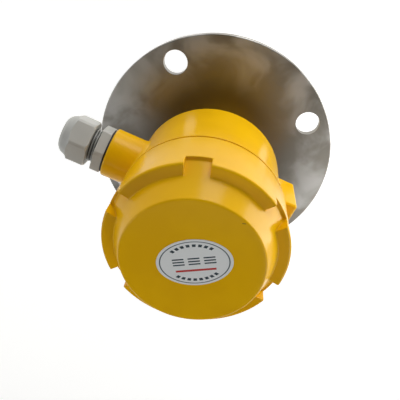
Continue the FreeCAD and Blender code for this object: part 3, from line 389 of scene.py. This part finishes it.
def flange_steel(colours):
    """Brushed stainless plate with cloudy patches, and painted shade that darkens it round the neck.
    """
    finish = Finish("flange_steel", metallic=1.0)
    patch = finish.noise(26 * MM, 3.0, distortion=0.6)
    lines = finish.noise(0.5 * MM, 3.0, stretch=(0.03, 1, 1))
    spots = finish.noise(5 * MM, 2.0)
    tone = finish.mix(finish.between(patch, 0.38, 0.66), tuple(colours.flange_dark),
                      tuple(colours.flange))
    # Painted shade: the plate is darkened to about half its dark tone towards the housing's neck.
    from_neck = finish.node("VectorMath", {"operation": "DISTANCE"},
                            {0: finish.place, 1: (0, 0, FLANGE_TOP)}, output="Value")
    dull_tone_and_painted_shade = tuple(part * 0.55 for part in colours.flange_dark)
    tone = finish.mix(finish.between(from_neck, 38 * MM, 74 * MM), dull_tone_and_painted_shade, tone)
    return finish.surface(
        base_color=tone, roughness=0.26 + 0.16 * patch + 0.12 * lines * spots,
        normal=finish.bump(lines, 0.012 * MM))


def metal(name, tint, roughness, grain, depth, dull_tone_and_painted_shade=None):
    """Bare metal: fine grain in its gloss and surface, and a slightly duller tone in patches."""
    finish = Finish(name, metallic=1.0)
    patch = finish.noise(grain * 14, 2.0)
    fine = finish.noise(grain, 2.0)
    dull_tone_and_painted_shade = dull_tone_and_painted_shade or tuple(part * 0.8 for part in tint)
    return finish.surface(
        base_color=finish.mix(patch, dull_tone_and_painted_shade, tint), roughness=roughness - 0.06 + 0.12 * fine,
        normal=finish.bump(fine, depth))


def turned_metal(name, tint, roughness, feed):
    """Turned metal: fine rings round the shaft's axis."""
    finish = Finish(name, metallic=1.0)
    rings = finish.noise(feed, 2.0, stretch=(0.05, 0.05, 1))
    patch = finish.noise(12 * MM, 2.0)
    return finish.surface(
        base_color=finish.mix(patch, tuple(part * 0.85 for part in tint), tint),
        roughness=roughness + 0.1 * rings, normal=finish.bump(rings, 0.004 * MM))


def weld_metal():
    """Weld bead: ripples round the sleeve and heat tint."""
    finish = Finish("weld_steel", metallic=1.0)
    ripple = finish.noise(1.6 * MM, 1.0)
    tint = finish.node("ValToRGB", {"stops": [(0.3, (0.30, 0.22, 0.16)), (0.5, (0.42, 0.39, 0.36)),
                                              (0.7, (0.24, 0.27, 0.36))]},
                       {"Fac": finish.noise(6 * MM, 1.0)}, output="Color")
    return finish.surface(base_color=tint, roughness=0.34 + 0.2 * ripple,
                          normal=finish.bump(ripple, 0.35 * MM))


def moulded(name, tint, roughness, grain=0.5 * MM, depth=0.012 * MM):
    """Moulded plastic: fine mould texture and a cloudy tone."""
    finish = Finish(name, ior=1.5)
    fine = finish.noise(grain, 2.0)
    cloud = finish.noise(grain * 18, 2.0)
    tone = finish.mix(cloud, tuple(part * 0.9 for part in tint), tint)
    return finish.surface(base_color=tone, roughness=roughness - 0.05 + 0.1 * fine,
                          normal=finish.bump(fine, depth))


def gland_nylon(colours, sizes):
    """Nylon of the gland, with shade and dust down in the grooves of its thread."""
    finish = Finish("grey_nylon", ior=1.5)
    fine = finish.noise(0.5 * MM, 2.0)
    along, across, up = finish.axes(finish.moved((0, 0, sizes.axis_height)))
    reach = (across ** 2 + up ** 2) ** 0.5
    root = sizes.thread_radius - sizes.thread_depth
    low = 1 - finish.between(reach, root, sizes.thread_radius - 0.1 * MM)
    groove = low * (along > sizes.thread_start) * (along < sizes.thread_end)
    tint = tuple(colours.nylon)
    tone = finish.mix(finish.noise(9 * MM, 2.0), tuple(part * 0.9 for part in tint), tint)
    tone = finish.mix(groove * 0.9, tone, (0.05, 0.05, 0.045))
    return finish.surface(base_color=tone, roughness=0.33 + 0.1 * fine,
                          normal=finish.bump(fine, 0.012 * MM))


def laminate():
    """Green board with copper tracks under its lacquer."""
    finish = Finish("board_laminate", ior=1.5, coat_weight=0.3)
    across = finish.axes(finish.place)[0]
    track = finish.between(across.repeat(5.9 * MM), 0.32, 0.36)
    field = finish.between(finish.noise(9 * MM, 0.0), 0.48, 0.52)
    tone = finish.mix(track * field, (0.03, 0.15, 0.06), (0.07, 0.26, 0.11))
    return finish.surface(base_color=tone, roughness=0.3 + 0.1 * finish.noise(2 * MM, 2.0),
                          normal=finish.bump(track * field, 0.03 * MM))


def label_film(colours):
    """White oval film with a dark line round it and plain bars."""
    finish = Finish("label_film", ior=1.45, coat_weight=0.4)
    turn = math.radians(33.4)
    across, along, _ = finish.axes(finish.moved(tuple(LABEL_MIDDLE), -turn))
    half_length, half_width = 17.5 * MM, 12.5 * MM
    round_ = ((across / half_length) ** 2 + (along / half_width) ** 2) ** 0.5
    ring = finish.between(round_, 0.885, 0.895) * (1 - finish.between(round_, 0.915, 0.925))

    lines = (abs(along + 0.9 * MM) < 2.3 * MM) * ((along + 0.9 * MM).repeat(1.5 * MM) < 0.24)
    lines = lines * (across.repeat(7.2 * MM) < 0.37) * (abs(across) < 10.6 * MM)
    turned = along.maths("ARCTAN2", along / half_width, across / half_length)
    marks = (turned.repeat(0.21) < 0.3) * (abs(abs(turned) - math.pi / 2) < 0.85)
    marks = marks * (abs(round_ - 0.745) < 0.055)
    lines = lines.most(marks)
    red = (abs(along - 4.0 * MM) < 0.55 * MM) * (abs(across) < 9.3 * MM)
    tone = finish.mix(ring.most(lines), tuple(colours.label), tuple(colours.label_line))
    tone = finish.mix(red, tone, tuple(colours.label_bar))
    grain = finish.noise(2 * MM, 2.0)
    return finish.surface(base_color=tone, roughness=0.25 + 0.1 * grain,
                          normal=finish.bump(grain, 0.01 * MM))


def make_finishes(colours, gland):
    """Every material of the part, by the slot that the record names."""
    bare = {
        "screw_steel": ((0.68, 0.68, 0.66), 0.24, 0.4 * MM, 0.006 * MM),
        "dark_steel": ((0.07, 0.07, 0.075), 0.4, 0.3 * MM, 0.01 * MM),
        "zinc_plate": ((0.64, 0.66, 0.64), 0.36, 0.8 * MM, 0.01 * MM, (0.5, 0.53, 0.55)),
        "bronze": ((0.55, 0.36, 0.16), 0.42, 0.3 * MM, 0.02 * MM),
        "brass": ((0.78, 0.58, 0.24), 0.26, 0.4 * MM, 0.006 * MM),
    }
    turned = {
        "turned_steel": (tuple(colours.steel), 0.22, 0.6 * MM),
        "spring_steel": ((0.5, 0.5, 0.51), 0.25, 0.2 * MM),
        "motor_metal": ((0.66, 0.66, 0.65), 0.32, 0.4 * MM),
    }
    plastic = {
        "black_rubber": ((0.02, 0.02, 0.02), 0.62, 0.4 * MM, 0.02 * MM),
        "black_plastic": ((0.03, 0.03, 0.032), 0.42),
        "red_plastic": ((0.45, 0.03, 0.02), 0.3),
    }
    made = {
        "yellow_paint": yellow_paint(colours),
        "flange_steel": flange_steel(colours),
        "weld_steel": weld_metal(),
        "grey_nylon": gland_nylon(colours, gland),
        "board_laminate": laminate(),
        "label_film": label_film(colours),
    }
    for finish, rows in ((metal, bare), (turned_metal, turned), (moulded, plastic)):
        made.update({slot: finish(slot, *row) for slot, row in rows.items()})
    return made


def slot_of(node):
    """The material slot that the record gives a node."""
    for part in frame["record"]["subparts"]:
        if part["node"] == node:
            return part["material_slot"]
    raise RuntimeError(f"the record names no material for {node}")


def finish_of(slot):
    """The finished material of a slot. The first piece that asks has them all made, and the
    frame's plain materials leave them their names."""
    if slot not in bpy.data.materials or not bpy.data.materials[slot].get("finished"):
        for old in list(bpy.data.materials):
            old.name = old.name + "_plain"
        scene = bpy.context.scene
        made = make_finishes(scene.level_switch_colours, scene.level_switch_gland)
        for name, material in made.items():
            material.name = name
            material["finished"] = True
    return bpy.data.materials[slot]


def shade(mesh):
    """Smooth shading that keeps the hard edges."""
    mesh.polygons.foreach_set("use_smooth", [True] * len(mesh.polygons))
    mesh.set_sharp_from_angle(angle=SHADED_EDGE)


def show(bm, name, node, replaces=True):
    """Makes a finished mesh an object that rides on a node's body, and may stand for the node."""
    mesh = bpy.data.meshes.new(name)
    bm.to_mesh(mesh)
    bm.free()
    shade(mesh)
    piece = bpy.data.objects.new(name, mesh)
    bpy.context.scene.collection.objects.link(piece)
    slot = slot_of(node)
    mesh.materials.append(finish_of(slot))
    weight = piece.modifiers.new("flat faces", "WEIGHTED_NORMAL")
    weight.keep_sharp = True
    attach(piece, frame["nodes"][node]["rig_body"])
    if replaces:
        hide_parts(node)


def merged(node):
    """A copy of a node's own shape with its triangles joined."""
    bm = bmesh.new()
    bm.from_mesh(frame["nodes"][node].data)
    bmesh.ops.remove_doubles(bm, verts=bm.verts, dist=0.002 * MM)
    bmesh.ops.dissolve_degenerate(bm, dist=0.001 * MM, edges=bm.edges)
    return bm


def dress(node, edge=0.0):
    """Shows a merged copy of a node's own shape, with its hard edges bevelled by an edge."""
    bm = merged(node)
    if edge:
        bmesh.ops.dissolve_limit(bm, angle_limit=math.radians(0.3), use_dissolve_boundaries=False,
                                 verts=bm.verts, edges=bm.edges, delimit=set())
        hard = [line for line in bm.edges
                if len(line.link_faces) == 2 and line.calc_face_angle() > BEVELLED_EDGE]
        bmesh.ops.bevel(bm, geom=hard, offset=edge, offset_type="OFFSET", affect="EDGES",
                        segments=2, profile=0.5, material=-1, clamp_overlap=True,
                        loop_slide=True)
    show(bm, node + "_finished", node)


def outline(bm, points, closed=False):
    """A wire through (across, up) points, with each (across, up, rounding) corner rounded."""
    verts = [bm.verts.new((point[0], 0, point[1])) for point in points]
    pairs = list(zip(verts, verts[1:] + verts[:1]))
    for pair in pairs if closed else pairs[:-1]:
        bm.edges.new(pair)
    for vert, point in zip(verts, points):
        if len(point) > 2:
            bmesh.ops.bevel(bm, geom=[vert], offset=point[2], offset_type="OFFSET",
                            affect="VERTICES", segments=4, profile=0.5, material=-1,
                            clamp_overlap=True)


def spun(points, steps, closed=False):
    """A closed shape turned about the shaft's axis from its outline."""
    bm = bmesh.new()
    outline(bm, points, closed)
    bmesh.ops.spin(bm, geom=bm.verts[:] + bm.edges[:], cent=(0, 0, 0), axis=(0, 0, 1),
                   dvec=(0, 0, 0), angle=math.tau, steps=steps, use_merge=True)
    bmesh.ops.remove_doubles(bm, verts=bm.verts, dist=0.001 * MM)
    bmesh.ops.recalc_face_normals(bm, faces=bm.faces)
    return bm


def radius_of(point):
    """Distance from the shaft's axis."""
    return math.hypot(point.x, point.y)


def angle_of(point):
    """Angle round the shaft's axis, from the gland's side."""
    return math.atan2(point.y, point.x)


def off_notch(point, share):
    """Angle from the middle of the nearest notch, with notches one share of a turn apart."""
    return angle_of(point) - round(angle_of(point) / share) * share


def half_opening(sizes):
    """Half the angle of the ring that a notch opens."""
    return math.pi / sizes.notch_count * NOTCH_COLUMNS / SHARE_COLUMNS


def cover_shape(sizes):
    """Cover without its notches: threaded spigot, ring, drum and face. Also the heights of the
    ring's top and of the notches' floors."""
    seat = COVER_FOOT + sizes.spigot_length
    ring_top = seat + sizes.ring_height
    notch_floor = ring_top - sizes.notch_depth
    share = 1 - sizes.notch_depth / sizes.ring_height
    floor_radius = sizes.seat_radius + (sizes.lug_radius - sizes.seat_radius) * share
    groove_top = seat - sizes.groove_drop
    groove_low = groove_top - sizes.groove_width
    groove_radius = sizes.spigot_radius - sizes.groove_depth
    root = sizes.spigot_radius - sizes.thread_depth
    ceiling = COVER_TOP - sizes.face_thickness
    return spun([
        (0, ceiling), (sizes.inner_radius, ceiling, 3 * MM),
        (sizes.spigot_bore, COVER_FOOT), (root, COVER_FOOT, 0.4 * MM),
        (root, groove_low), (groove_radius, groove_low), (groove_radius, groove_top),
        (sizes.spigot_radius, groove_top), (sizes.spigot_radius, seat),
        (sizes.seat_radius, seat, sizes.ring_edge), (floor_radius, notch_floor),
        (sizes.lug_radius, ring_top, sizes.lug_edge), (sizes.drum_root, ring_top),
        (sizes.drum_face, COVER_TOP - sizes.rim_drop, sizes.drum_edge),
        (sizes.drum_face - sizes.rim_width, COVER_TOP), (0, COVER_TOP)],
        SHARE_COLUMNS * sizes.notch_count), ring_top, notch_floor


def open_notches(bm, sizes, notch_floor):
    """Takes the ring's faces away where the notches come."""
    share = math.tau / sizes.notch_count
    gone = []
    for face in bm.faces:
        middle = face.calc_center_median()
        in_ring = middle.z > notch_floor + TINY and radius_of(middle) > sizes.drum_root + TINY
        if in_ring and abs(off_notch(middle, share)) < half_opening(sizes):
            gone.append(face)
    bmesh.ops.delete(bm, geom=gone, context="FACES")


def wall_notches(bm, sizes, ring_top, notch_floor):
    """Gives the opened notches their inner walls, then their floors and side walls."""
    share = math.tau / sizes.notch_count
    near = half_opening(sizes) * 1.5
    upper = [line for line in bm.edges if line.is_boundary
             and all(abs(vert.co.z - ring_top) < TINY
                     and abs(radius_of(vert.co) - sizes.drum_root) < TINY for vert in line.verts)]
    made = bmesh.ops.extrude_edge_only(bm, edges=upper)["geom"]
    walls = [item for item in made if isinstance(item, bmesh.types.BMVert)]
    flare = (sizes.drum_root + sizes.notch_flare) / sizes.drum_root
    bmesh.ops.scale(bm, verts=walls, vec=(flare, flare, 1))
    bmesh.ops.translate(bm, verts=walls, vec=(0, 0, notch_floor - ring_top))
    low = [line for line in bm.edges if line.is_boundary
           and all(abs(vert.co.z - notch_floor) < TINY for vert in line.verts)]
    for number in range(sizes.notch_count):
        here = [line for line in low
                if abs(math.remainder(angle_of(line.verts[0].co) - number * share, math.tau)) < near]
        bmesh.ops.bridge_loops(bm, edges=here)
    bmesh.ops.holes_fill(bm, edges=[line for line in bm.edges if line.is_boundary], sides=0)


def straighten_notches(bm, sizes, notch_floor):
    """Turns the ring's points, so that the side walls of a notch are parallel."""
    share = math.tau / sizes.notch_count
    half_open = half_opening(sizes)
    for vert in bm.verts:
        reach = radius_of(vert.co)
        if vert.co.z < notch_floor - TINY or reach < sizes.drum_root - TINY:
            continue
        off = off_notch(vert.co, share)
        middle = angle_of(vert.co) - off
        wanted = math.asin(sizes.notch_width / 2 / reach)
        if abs(off) <= half_open:
            turned = abs(off) / half_open * wanted
        else:
            past = (abs(off) - half_open) / (share / 2 - half_open)
            turned = wanted + past * (share / 2 - wanted)
        angle = middle + math.copysign(turned, off)
        vert.co.x = reach * math.cos(angle)
        vert.co.y = reach * math.sin(angle)
    bmesh.ops.recalc_face_normals(bm, faces=bm.faces)
    bm.normal_update()


def round_notches(bm, sizes, notch_floor):
    """Rounds the hard edges of the notches and of the lugs between them."""
    hard = [line for line in bm.edges
            if line.calc_face_angle(0) > NOTCH_EDGE
            and all(vert.co.z > notch_floor - TINY
                    and radius_of(vert.co) > sizes.drum_root - TINY for vert in line.verts)]
    bmesh.ops.bevel(bm, geom=hard, offset=sizes.lug_round, offset_type="OFFSET", affect="EDGES",
                    segments=3, profile=0.5, material=-1, clamp_overlap=True, loop_slide=True)


def thread_ridge(bm, root, tip, pitch, low, high, turn=Matrix()):
    """Adds a thread's ridge round the Z axis between two heights, then moves it by a matrix."""
    ridge = bmesh.new()
    turns = (high - low - pitch) / pitch
    half = pitch * RIDGE_FOOT
    flat = half * RIDGE_CREST
    inner = root - 0.15 * MM
    corners = [(inner, low), (tip, low + half - flat), (tip, low + half + flat),
               (inner, low + half * 2)]
    face = ridge.faces.new([ridge.verts.new((across, 0, up)) for across, up in corners])
    steps = int(turns * THREAD_STEPS)
    bmesh.ops.spin(ridge, geom=[face], cent=(0, 0, 0), axis=(0, 0, 1),
                   dvec=(0, 0, turns * pitch / steps), angle=turns * math.tau, steps=steps,
                   use_merge=False)
    bmesh.ops.recalc_face_normals(ridge, faces=ridge.faces)
    bmesh.ops.transform(ridge, matrix=turn, verts=ridge.verts)
    mesh = bpy.data.meshes.new("thread")
    ridge.to_mesh(mesh)
    ridge.free()
    bm.from_mesh(mesh)
    bpy.data.meshes.remove(mesh)


def threaded_gland(sizes):
    """The gland's body, with the rings of its neck turned down and a thread wound round it."""
    bm = merged("gland_body")
    axis = Vector((0, 0, sizes.axis_height))
    root = sizes.thread_radius - sizes.thread_depth
    rings = {}
    for vert in bm.verts:
        reach = math.hypot(vert.co.y, vert.co.z - axis.z)
        if vert.co.x > sizes.thread_start - 0.1 * MM and root < reach < sizes.thread_radius * 1.01:
            rings.setdefault(round(reach, 5), []).append(vert)
    for reach, verts in rings.items():
        bmesh.ops.scale(bm, verts=verts, vec=(1, root / reach, root / reach),
                        space=Matrix.Translation(-axis))
    thread_ridge(bm, root, sizes.thread_radius, sizes.thread_pitch,
                 sizes.thread_start - 0.2 * MM, sizes.thread_end,
                 Matrix.Translation(axis) @ Matrix.Rotation(math.pi / 2, 4, "Y"))
    show(bm, "gland_body_finished", "gland_body")


class LEVELSWITCH_OT_cover(bpy.types.Operator):
    """Builds the notched screw cover with its thread, and finishes its seal and label"""

    bl_idname = "level_switch.cover"
    bl_label = "Cover"

    def execute(self, context):
        sizes = context.scene.level_switch_cover
        bm, ring_top, notch_floor = cover_shape(sizes)
        open_notches(bm, sizes, notch_floor)
        wall_notches(bm, sizes, ring_top, notch_floor)
        straighten_notches(bm, sizes, notch_floor)
        round_notches(bm, sizes, notch_floor)
        bmesh.ops.rotate(bm, verts=bm.verts, cent=(0, 0, 0),
                         matrix=Matrix.Rotation(sizes.notch_turn, 3, "Z"))
        seat = COVER_FOOT + sizes.spigot_length
        thread_ridge(bm, sizes.spigot_radius - sizes.thread_depth, sizes.spigot_radius,
                     sizes.thread_pitch, COVER_FOOT + 0.2 * MM,
                     seat - sizes.groove_drop - sizes.groove_width)
        show(bm, "cover_finished", "cover")
        dress("cover_label")
        dress("cover_o_ring")
        return {"FINISHED"}


class LEVELSWITCH_OT_housing(bpy.types.Operator):
    """Finishes the cast housing, its gasket and its set screw"""

    bl_idname = "level_switch.housing"
    bl_label = "Housing"

    def execute(self, context):
        dress("housing", 0.25 * MM)
        cover = context.scene.level_switch_cover
        top = COVER_FOOT + cover.spigot_length - 0.4 * MM
        inner, outer = 41.0 * MM, cover.seat_radius + 0.2 * MM
        width, slope, rounding = 1.1 * MM, 0.9 * MM, 0.4 * MM
        bead = spun([(inner, top - width - slope), (outer, top - width, rounding),
                     (outer, top, rounding), (inner, top)], BEAD_STEPS, True)
        show(bead, "mouth_bead", "housing", replaces=False)
        dress("neck_gasket")
        dress("neck_set_screw")
        return {"FINISHED"}


class LEVELSWITCH_OT_flange(bpy.types.Operator):
    """Finishes the flange, the sleeve and the weld between them"""

    bl_idname = "level_switch.flange"
    bl_label = "Flange and sleeve"

    def execute(self, context):
        dress("mounting_flange", 0.2 * MM)
        dress("sleeve_tube")
        dress("weld_bead")
        return {"FINISHED"}


class LEVELSWITCH_OT_gland(bpy.types.Operator):
    """Finishes the cable gland"""

    bl_idname = "level_switch.gland"
    bl_label = "Cable gland"

    def execute(self, context):
        threaded_gland(context.scene.level_switch_gland)
        dress("gland_nut", 0.25 * MM)
        dress("gland_gasket")
        dress("gland_seal")
        return {"FINISHED"}


class LEVELSWITCH_OT_paddle(bpy.types.Operator):
    """Finishes the shaft, its bushes and seal, and the paddle with its screws"""

    bl_idname = "level_switch.paddle"
    bl_label = "Shaft and paddle"

    def execute(self, context):
        dress("paddle_blade", 0.2 * MM)
        for node in ("paddle_shaft", "paddle_screws", "paddle_nuts", "upper_bush", "lower_bush",
                     "shaft_seal", "seal_retaining_ring", "shaft_retaining_ring"):
            dress(node)
        return {"FINISHED"}


class LEVELSWITCH_OT_drive(bpy.types.Operator):
    """Finishes the coupling, the motor on its plate, the spring and the switches"""

    bl_idname = "level_switch.drive"
    bl_label = "Drive and switches"

    def execute(self, context):
        for node in ("shaft_coupling", "coupling_screws", "motor_output_shaft", "chassis_plate",
                     "chassis_screws", "torque_plate", "gearbox_case", "motor_can",
                     "motor_screws", "trip_pin", "swing_stop", "switch_lower", "switch_upper",
                     "switch_lever_lower", "switch_lever_upper", "switch_button_lower",
                     "switch_button_upper", "switch_screws"):
            dress(node)
        spring = frame["nodes"]["torque_spring"]
        spring.data.materials.clear()
        spring.data.materials.append(finish_of("spring_steel"))
        return {"FINISHED"}


class LEVELSWITCH_OT_terminals(bpy.types.Operator):
    """Finishes the terminal board, its pillars and screws"""

    bl_idname = "level_switch.terminals"
    bl_label = "Terminals"

    def execute(self, context):
        for node in ("board_pillars", "terminal_board", "board_screws", "terminal_block",
                     "terminal_screws"):
            dress(node)
        return {"FINISHED"}


class LEVELSWITCH_OT_stage(bpy.types.Operator):
    """Makes the floor, the soft lights, the surroundings and the camera"""

    bl_idname = "level_switch.stage"
    bl_label = "Stage"

    def execute(self, context):
        settings = context.scene.level_switch_stage
        make_floor(settings)
        make_sky(context.scene, settings)
        for name, place, width, height, power in (
                ("key_light", KEY_PLACE, 0.35, 0.35, settings.key_power),
                ("top_light", Vector((0.1, 0.25, 1.1)), 1.0, 1.0, settings.top_power),
                ("front_light", Vector((0.75, 0.45, 0.75)), 0.5, 0.5, settings.front_power),
                ("fill_light", Vector((-0.75, 0.40, 0.80)), 0.5, 0.5, settings.fill_power),
                ("side_light", Vector((-0.295, -0.176, 0.01)), 0.3, 0.15, settings.side_power),
                ("strip_light", Vector((-0.11, 0.40, 1.01)), 1.3, 0.2, settings.strip_power)):
            make_light(name, place, width, height, power)
        make_camera(context.scene, settings)
        context.scene.view_settings.view_transform = "Standard"
        return {"FINISHED"}


def make_floor(settings):
    """Pale floor under the paddle."""
    bm = bmesh.new()
    bmesh.ops.create_grid(bm, x_segments=1, y_segments=1, size=6.0)
    bmesh.ops.translate(bm, verts=bm.verts, vec=(0, 0, PADDLE_FOOT - 0.5 * MM))
    mesh = bpy.data.meshes.new("floor")
    bm.to_mesh(mesh)
    bm.free()
    floor = bpy.data.objects.new("floor", mesh)
    bpy.context.scene.collection.objects.link(floor)
    finish = Finish("floor", emission_strength=settings.floor_glow)
    tone = finish.mix(finish.noise(0.35, 2.0), tuple(settings.floor),
                      tuple(part * 0.985 for part in settings.floor))
    floor.data.materials.append(finish.surface(base_color=tone, emission_color=tone, roughness=0.7))


def make_sky(scene, settings):
    """Soft surroundings, pale round the horizon and dim overhead."""
    sky = bpy.data.worlds.new("surroundings")
    sky.use_nodes = True
    nodes = Nodes(sky.node_tree)
    towards = nodes.node("TexCoord", output="Generated")
    height = nodes.node("VectorMath", {"operation": "DOT_PRODUCT"},
                        {0: towards, 1: (0, 0, 1)}, output="Value")
    glow = nodes.node("MapRange", {"interpolation_type": "SMOOTHSTEP"},
                      {"Value": height, "From Min": 0.1, "From Max": 0.7,
                       "To Min": settings.sky, "To Max": settings.sky * 0.1})
    background = sky.node_tree.nodes["Background"]
    background.inputs["Color"].default_value = (0.94, 0.96, 1.0, 1.0)
    sky.node_tree.links.new(glow.socket, background.inputs["Strength"])
    scene.world = sky


def make_light(name, place, width, height, power):
    """A soft light that faces the head of the part."""
    data = bpy.data.lights.new(name, "AREA")
    data.shape = "RECTANGLE"
    data.size = width
    data.size_y = height
    data.energy = power
    lamp = bpy.data.objects.new(name, data)
    lamp.location = place
    lamp.rotation_euler = (LIT_PLACE - place).to_track_quat("-Z", "Y").to_euler()
    lamp.visible_camera = False
    bpy.context.scene.collection.objects.link(lamp)


def make_camera(scene, settings):
    """The photograph's view."""
    data = bpy.data.cameras.new("camera")
    data.sensor_width = 36.0
    data.lens = settings.lens
    data.clip_start = 0.01
    camera = bpy.data.objects.new("camera", data)
    scene.collection.objects.link(camera)
    flat = math.cos(settings.elevation)
    back = Vector((math.sin(settings.azimuth) * flat, -math.cos(settings.azimuth) * flat,
                   math.sin(settings.elevation)))
    upright = (-back).to_track_quat("-Z", "Y")
    camera.rotation_mode = "QUATERNION"
    rolled = upright.to_matrix() @ Matrix.Rotation(settings.roll, 3, "Z")
    camera.rotation_quaternion = rolled.to_quaternion()
    camera.location = Vector(settings.aim) + back * settings.distance
    scene.camera = camera


class LEVELSWITCH_PT_panel(bpy.types.Panel):
    """Lists the settings of the level switch and the steps that dress it"""

    bl_idname = "LEVELSWITCH_PT_panel"
    bl_label = "Level switch"
    bl_space_type = "VIEW_3D"
    bl_region_type = "UI"
    bl_category = "Level switch"

    def draw(self, context):
        for name, group in GROUPS.items():
            box = self.layout.box()
            box.label(text=group.__doc__)
            for entry in group.__annotations__:
                box.prop(getattr(context.scene, name), entry)
        for step in STEPS:
            self.layout.operator(step.bl_idname)


STEPS = (LEVELSWITCH_OT_cover, LEVELSWITCH_OT_housing, LEVELSWITCH_OT_flange, LEVELSWITCH_OT_gland,
         LEVELSWITCH_OT_paddle, LEVELSWITCH_OT_drive, LEVELSWITCH_OT_terminals,
         LEVELSWITCH_OT_stage)
GROUPS = {"level_switch_cover": LevelSwitchCover, "level_switch_gland": LevelSwitchGland,
          "level_switch_colours": LevelSwitchColours, "level_switch_stage": LevelSwitchStage}


def register():
    """Adds the settings, the steps and the panel."""
    for name, group in GROUPS.items():
        bpy.utils.register_class(group)
        setattr(bpy.types.Scene, name, PointerProperty(type=group))
    for step in STEPS:
        bpy.utils.register_class(step)
    bpy.utils.register_class(LEVELSWITCH_PT_panel)


def unregister():
    """Takes them away again."""
    bpy.utils.unregister_class(LEVELSWITCH_PT_panel)
    for step in reversed(STEPS):
        bpy.utils.unregister_class(step)
    for name, group in GROUPS.items():
        delattr(bpy.types.Scene, name)
        bpy.utils.unregister_class(group)


def main():
    """Runs every step in order."""
    register()
    for step in STEPS:
        group, name = step.bl_idname.split(".")
        getattr(getattr(bpy.ops, group), name)()


if __name__ == "__main__":
    main()
